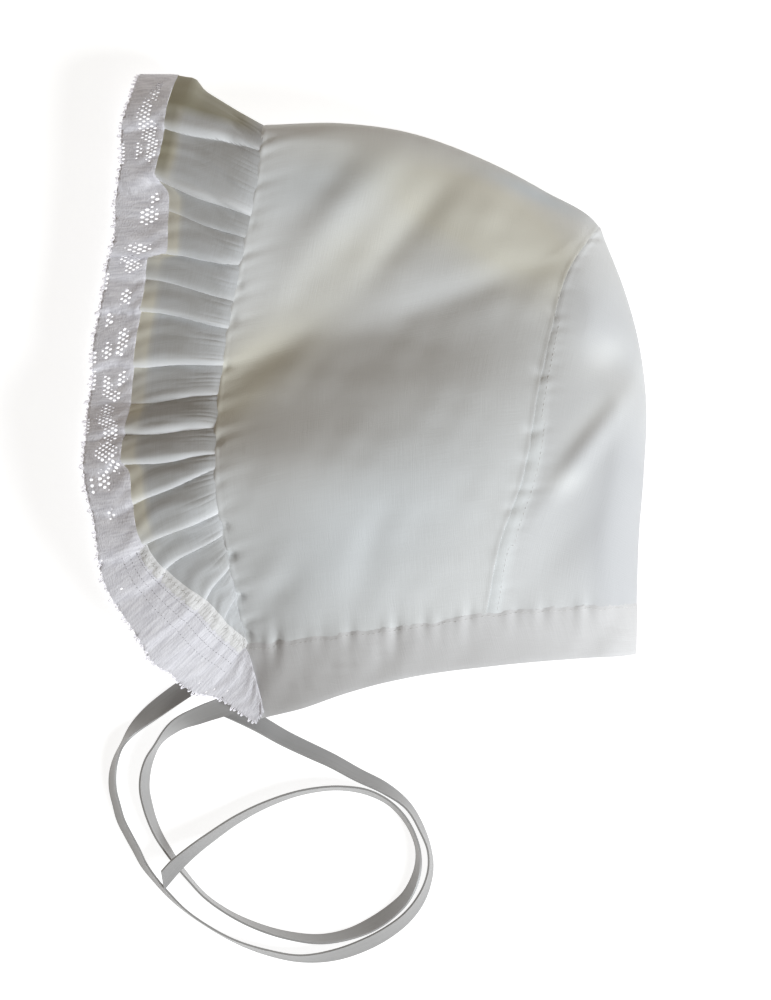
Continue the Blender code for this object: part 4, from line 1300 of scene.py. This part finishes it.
def picot_loops():
    """Small thread loops that stand out along the lace's edge: half ovals of uneven height."""
    line = (edge_line[:-1] + edge_line[1:]) / 2
    values = np.concatenate([edge_way[:-1], edge_normal[:-1]], axis=1)
    foot, read = resampled(line, values, PICOT_PITCH, 0.001)
    outwards = read[:, :3] / np.maximum(np.linalg.norm(read[:, :3], axis=1, keepdims=True), 1e-9)
    normal = read[:, 3:]
    number = np.arange(len(foot))
    tall = PICOT_DEPTH * np.clip(0.62 + 0.45 * np.sin(2.4 * number) + 0.30 * np.sin(5.1 * number + 1), 0.1, 2)
    ahead = np.gradient(foot, axis=0)
    ahead /= np.linalg.norm(ahead, axis=1, keepdims=True)
    turn = np.linspace(0, np.pi, 9)
    lean = np.sin(3 * number)[:, None] * np.sin(turn)
    along = PICOT_HALF_WIDTH * (lean - np.cos(turn))
    paths = (foot[:, None] - outwards[:, None] * PICOT_FOOT + ahead[:, None] * along[..., None]
             + outwards[:, None] * ((tall[:, None] + PICOT_FOOT) * np.sin(turn))[..., None])
    upward = np.repeat(normal[:, None], len(turn), axis=1)
    return tubes(paths, upward, np.full(paths.shape[:2], PICOT_RADIUS), 5)


picot_points, picot_faces = picot_loops()
picots = make_piece("lace_picots", picot_points, picot_faces, picot_points[:, :2], PICOTS, [])


# Hem where the lace is sewn over the frill's edge round the corner
HEM_START = 0.74                # share of the seam's length where it begins
HEM_INSIDE = 0.0009             # by which it reaches over the frill
HEM_FOOT = 0.3                  # share of its breadth that lies on the frill
HEM_SPREAD = 0.24               # breadths of the lace for each breadth of the strip
HEM_WALL = 0.0002


def hem_strip():
    """Narrow strip of doubled cloth from just inside the frill's edge to the end of the lace's heading, with
    fine ribs across it. Its rows run round both layers; the share of the seam's length is given for each."""
    side = np.linspace(-1, 1, HEM_STEPS + 1)[:, None]
    across = np.linspace(0, 1, 13)[None, :]
    share = rolled(side, RUFFLE_SOFTNESS)
    frill_reach = np.maximum(ruffle_row(share)[1], 0.001)
    inside = (1 - across / HEM_FOOT) * HEM_INSIDE / frill_reach
    out = np.where(across < HEM_FOOT, 1 - inside, 1 + (across - HEM_FOOT) * HEM_SPREAD)
    middle, normals, _ = ruffle_surface(side + 0 * out, out)
    ribs = 0.00006 * np.sin(2 * np.pi * share * SEAM_LENGTH / 0.0010)
    rise = 0.00006 + (0.00024 + ribs) * np.sin(np.pi * across) ** 0.4
    return middle + normals * rise[..., None], normals, share[:, 0]


hem_middle, hem_normals, hem_share = hem_strip()
hem_number = np.arange(HEM_STEPS + 1)
hem_layers = [(hem_share > HEM_START) & (hem_number < HEM_STEPS // 2),
              (hem_share > HEM_START) & (hem_number > HEM_STEPS // 2)]
hem_shells, hem_maps = [], []
for layer in hem_layers:
    points, faces = shell(hem_middle[layer], hem_normals[layer], HEM_WALL)
    hem_shells.append((points, [faces]))
    hem_maps.append(np.tile(surface_lengths(hem_middle[layer]).reshape(-1, 2), (2, 1)))
hem_points, hem_faces = joined(hem_shells)
make_piece("frill_hem", hem_points, hem_faces, np.concatenate(hem_maps), HEM_CLOTH, [])


# Stitching
STITCH_RADIUS = 0.00008         # threads of the hem and band, and the dashes of painted needle-hole shade
FELL_RADIUS = 0.00007           # threads along the back seams
ZIGZAG_PITCH = 0.0013
HEM_STITCH = (0.0011, 0.0006)   # pitch and length of a stitch
SEAM_STITCH = (0.0017, 0.0012)
ZIGZAG_COLUMNS = (3, 5, 7)      # of the hem strip: near edge, middle and far edge
HEM_ROWS = (9, 12)              # columns of the hem strip with a row of stitches
MARK_ROWS = np.array([1.20, 1.36, 1.52])    # places of the dashes of painted needle-hole shade, counted as out in ruffle_layer
MARK_LENGTH = 0.00045
BAND_ROW = 2                    # column of the band with its stitches
FELL_INSET = 0.0007             # from the felled strip's edge to its stitches
FELL_START = 60                 # row of the panel where they begin


def read_at(line, share):
    """Places at the stated shares of a line's length."""
    way = chords(line)
    return np.stack([np.interp(share, way / way[-1], column) for column in line.T], axis=1)


def zigzag(line_a, line_b, normal_a, pitch, radius):
    """Stitches that go to and fro between two lines."""
    begin, normal = resampled(line_a, normal_a, pitch)
    step = pitch / chords(line_a)[-1]
    at = np.arange(len(begin)) * step
    far = read_at(line_b, at + step / 2)
    back = read_at(line_a, at + step)
    return joined([stitches(begin, far, normal, radius), stitches(far, back, normal, radius)])


def thread_piece(name, rows, finish):
    """One piece of all the given rows of stitches."""
    points, faces = joined(rows)
    return make_piece(name, points, faces, points[:, :2], finish, [])


hem_top = hem_middle + hem_normals * HEM_WALL / 2
near_edge, between, far_edge = ZIGZAG_COLUMNS
hem_rows = []
for layer in hem_layers:
    top, normals = hem_top[layer], hem_normals[layer]
    hem_rows.append(zigzag(top[:, near_edge], top[:, far_edge], normals[:, between], ZIGZAG_PITCH,
                           STITCH_RADIUS))
    for column in HEM_ROWS:
        hem_rows.append(stitch_row(top[:, column], normals[:, column], *HEM_STITCH, STITCH_RADIUS))
thread_piece("hem_stitches", hem_rows, THREAD)

# Rows of short dark dashes along the lace: painted shade of its needle holes
mark_side = np.linspace(-1, 1, HEM_STEPS + 1)[:, None] + 0 * MARK_ROWS
marked, mark_normals, _ = ruffle_surface(mark_side, MARK_ROWS + 0 * mark_side)
marked = marked + mark_normals * LACE_WALL * 0.75
mark_rows = []
for layer in hem_layers:
    for row in range(len(MARK_ROWS)):
        mark_rows.append(stitch_row(marked[layer][:, row], mark_normals[layer][:, row],
                                    0.0009 + 0.0002 * row, MARK_LENGTH, STITCH_RADIUS))
thread_piece("needle_hole_shade_dashes", mark_rows, NEEDLE_HOLE_SHADE)

band_outward = band_normals[:, BAND_ROW]
band_line = band_middle[:, BAND_ROW] + band_outward * band_wall[:, BAND_ROW, None] / 2
seam_rows = [stitch_row(band_line, band_outward, *SEAM_STITCH, STITCH_RADIUS)]
for half in (slice(0, PANEL_GRID[0] // 2), slice(PANEL_GRID[0], PANEL_GRID[0] // 2, -1)):
    pick = np.abs(panel_from_seam[half] - (panel_strip - FELL_INSET)).argmin(axis=0)
    number = np.arange(PANEL_GRID[1] + 1)
    line = panel_middle[half][pick, number][FELL_START:]
    outward = panel_normals[half][pick, number][FELL_START:]
    seam_rows.append(stitch_row(line + outward * BATISTE_WALL / 2, outward, *SEAM_STITCH, FELL_RADIUS))
thread_piece("seam_stitches", seam_rows, THREAD)


# Floor and light
def make_stage():
    """Plain pale floor, so bright that it is white in the picture."""
    size = 3.0
    corners = [(-size, -size, 0), (size, -size, 0), (size, size, 0), (-size, size, 0)]
    mesh = bpy.data.meshes.new("floor")
    mesh.from_pydata(corners, [], [(0, 1, 2, 3)])
    floor = bpy.data.objects.new("floor", mesh)
    bpy.context.scene.collection.objects.link(floor)
    material = bpy.data.materials.new("floor")
    material.use_nodes = True
    shader = material.node_tree.nodes["Principled BSDF"]
    shader.inputs["Base Color"].default_value = (0.45, 0.45, 0.45, 1)
    shader.inputs["Roughness"].default_value = 0.9
    shader.inputs["Specular IOR Level"].default_value = 0.1
    shader.inputs["Emission Color"].default_value = (1, 1, 1, 1)
    shader.inputs["Emission Strength"].default_value = 0.86
    mesh.materials.append(material)


def add_light(name, location, target, size, power, colour):
    """Round soft light that faces its target."""
    lamp = bpy.data.lights.new(name, "AREA")
    lamp.shape = "DISK"
    lamp.size = size
    lamp.energy = power
    lamp.color = colour
    made = bpy.data.objects.new(name, lamp)
    made.location = location
    away = np.array(location) - np.array(target)
    lean = math.atan2(math.hypot(away[0], away[1]), away[2])
    made.rotation_euler = (lean, 0, math.atan2(away[0], -away[1]))
    bpy.context.scene.collection.objects.link(made)


make_stage()
add_light("key", (0.87, -0.655, 1.02), (0, 0, 0.02), 0.6, 19.5, (0.92, 0.965, 1.0))
add_light("fill", (-0.3, 1.2, 0.7), (0, 0, 0.02), 1.2, 1.3, (1.0, 0.75, 0.50))
world = bpy.data.worlds.new("world")
world.use_nodes = True
world.node_tree.nodes["Background"].inputs["Color"].default_value = (1, 0.87, 0.68, 1)
world.node_tree.nodes["Background"].inputs["Strength"].default_value = 0.13
bpy.context.scene.world = world
bpy.context.scene.view_settings.view_transform = "Standard"
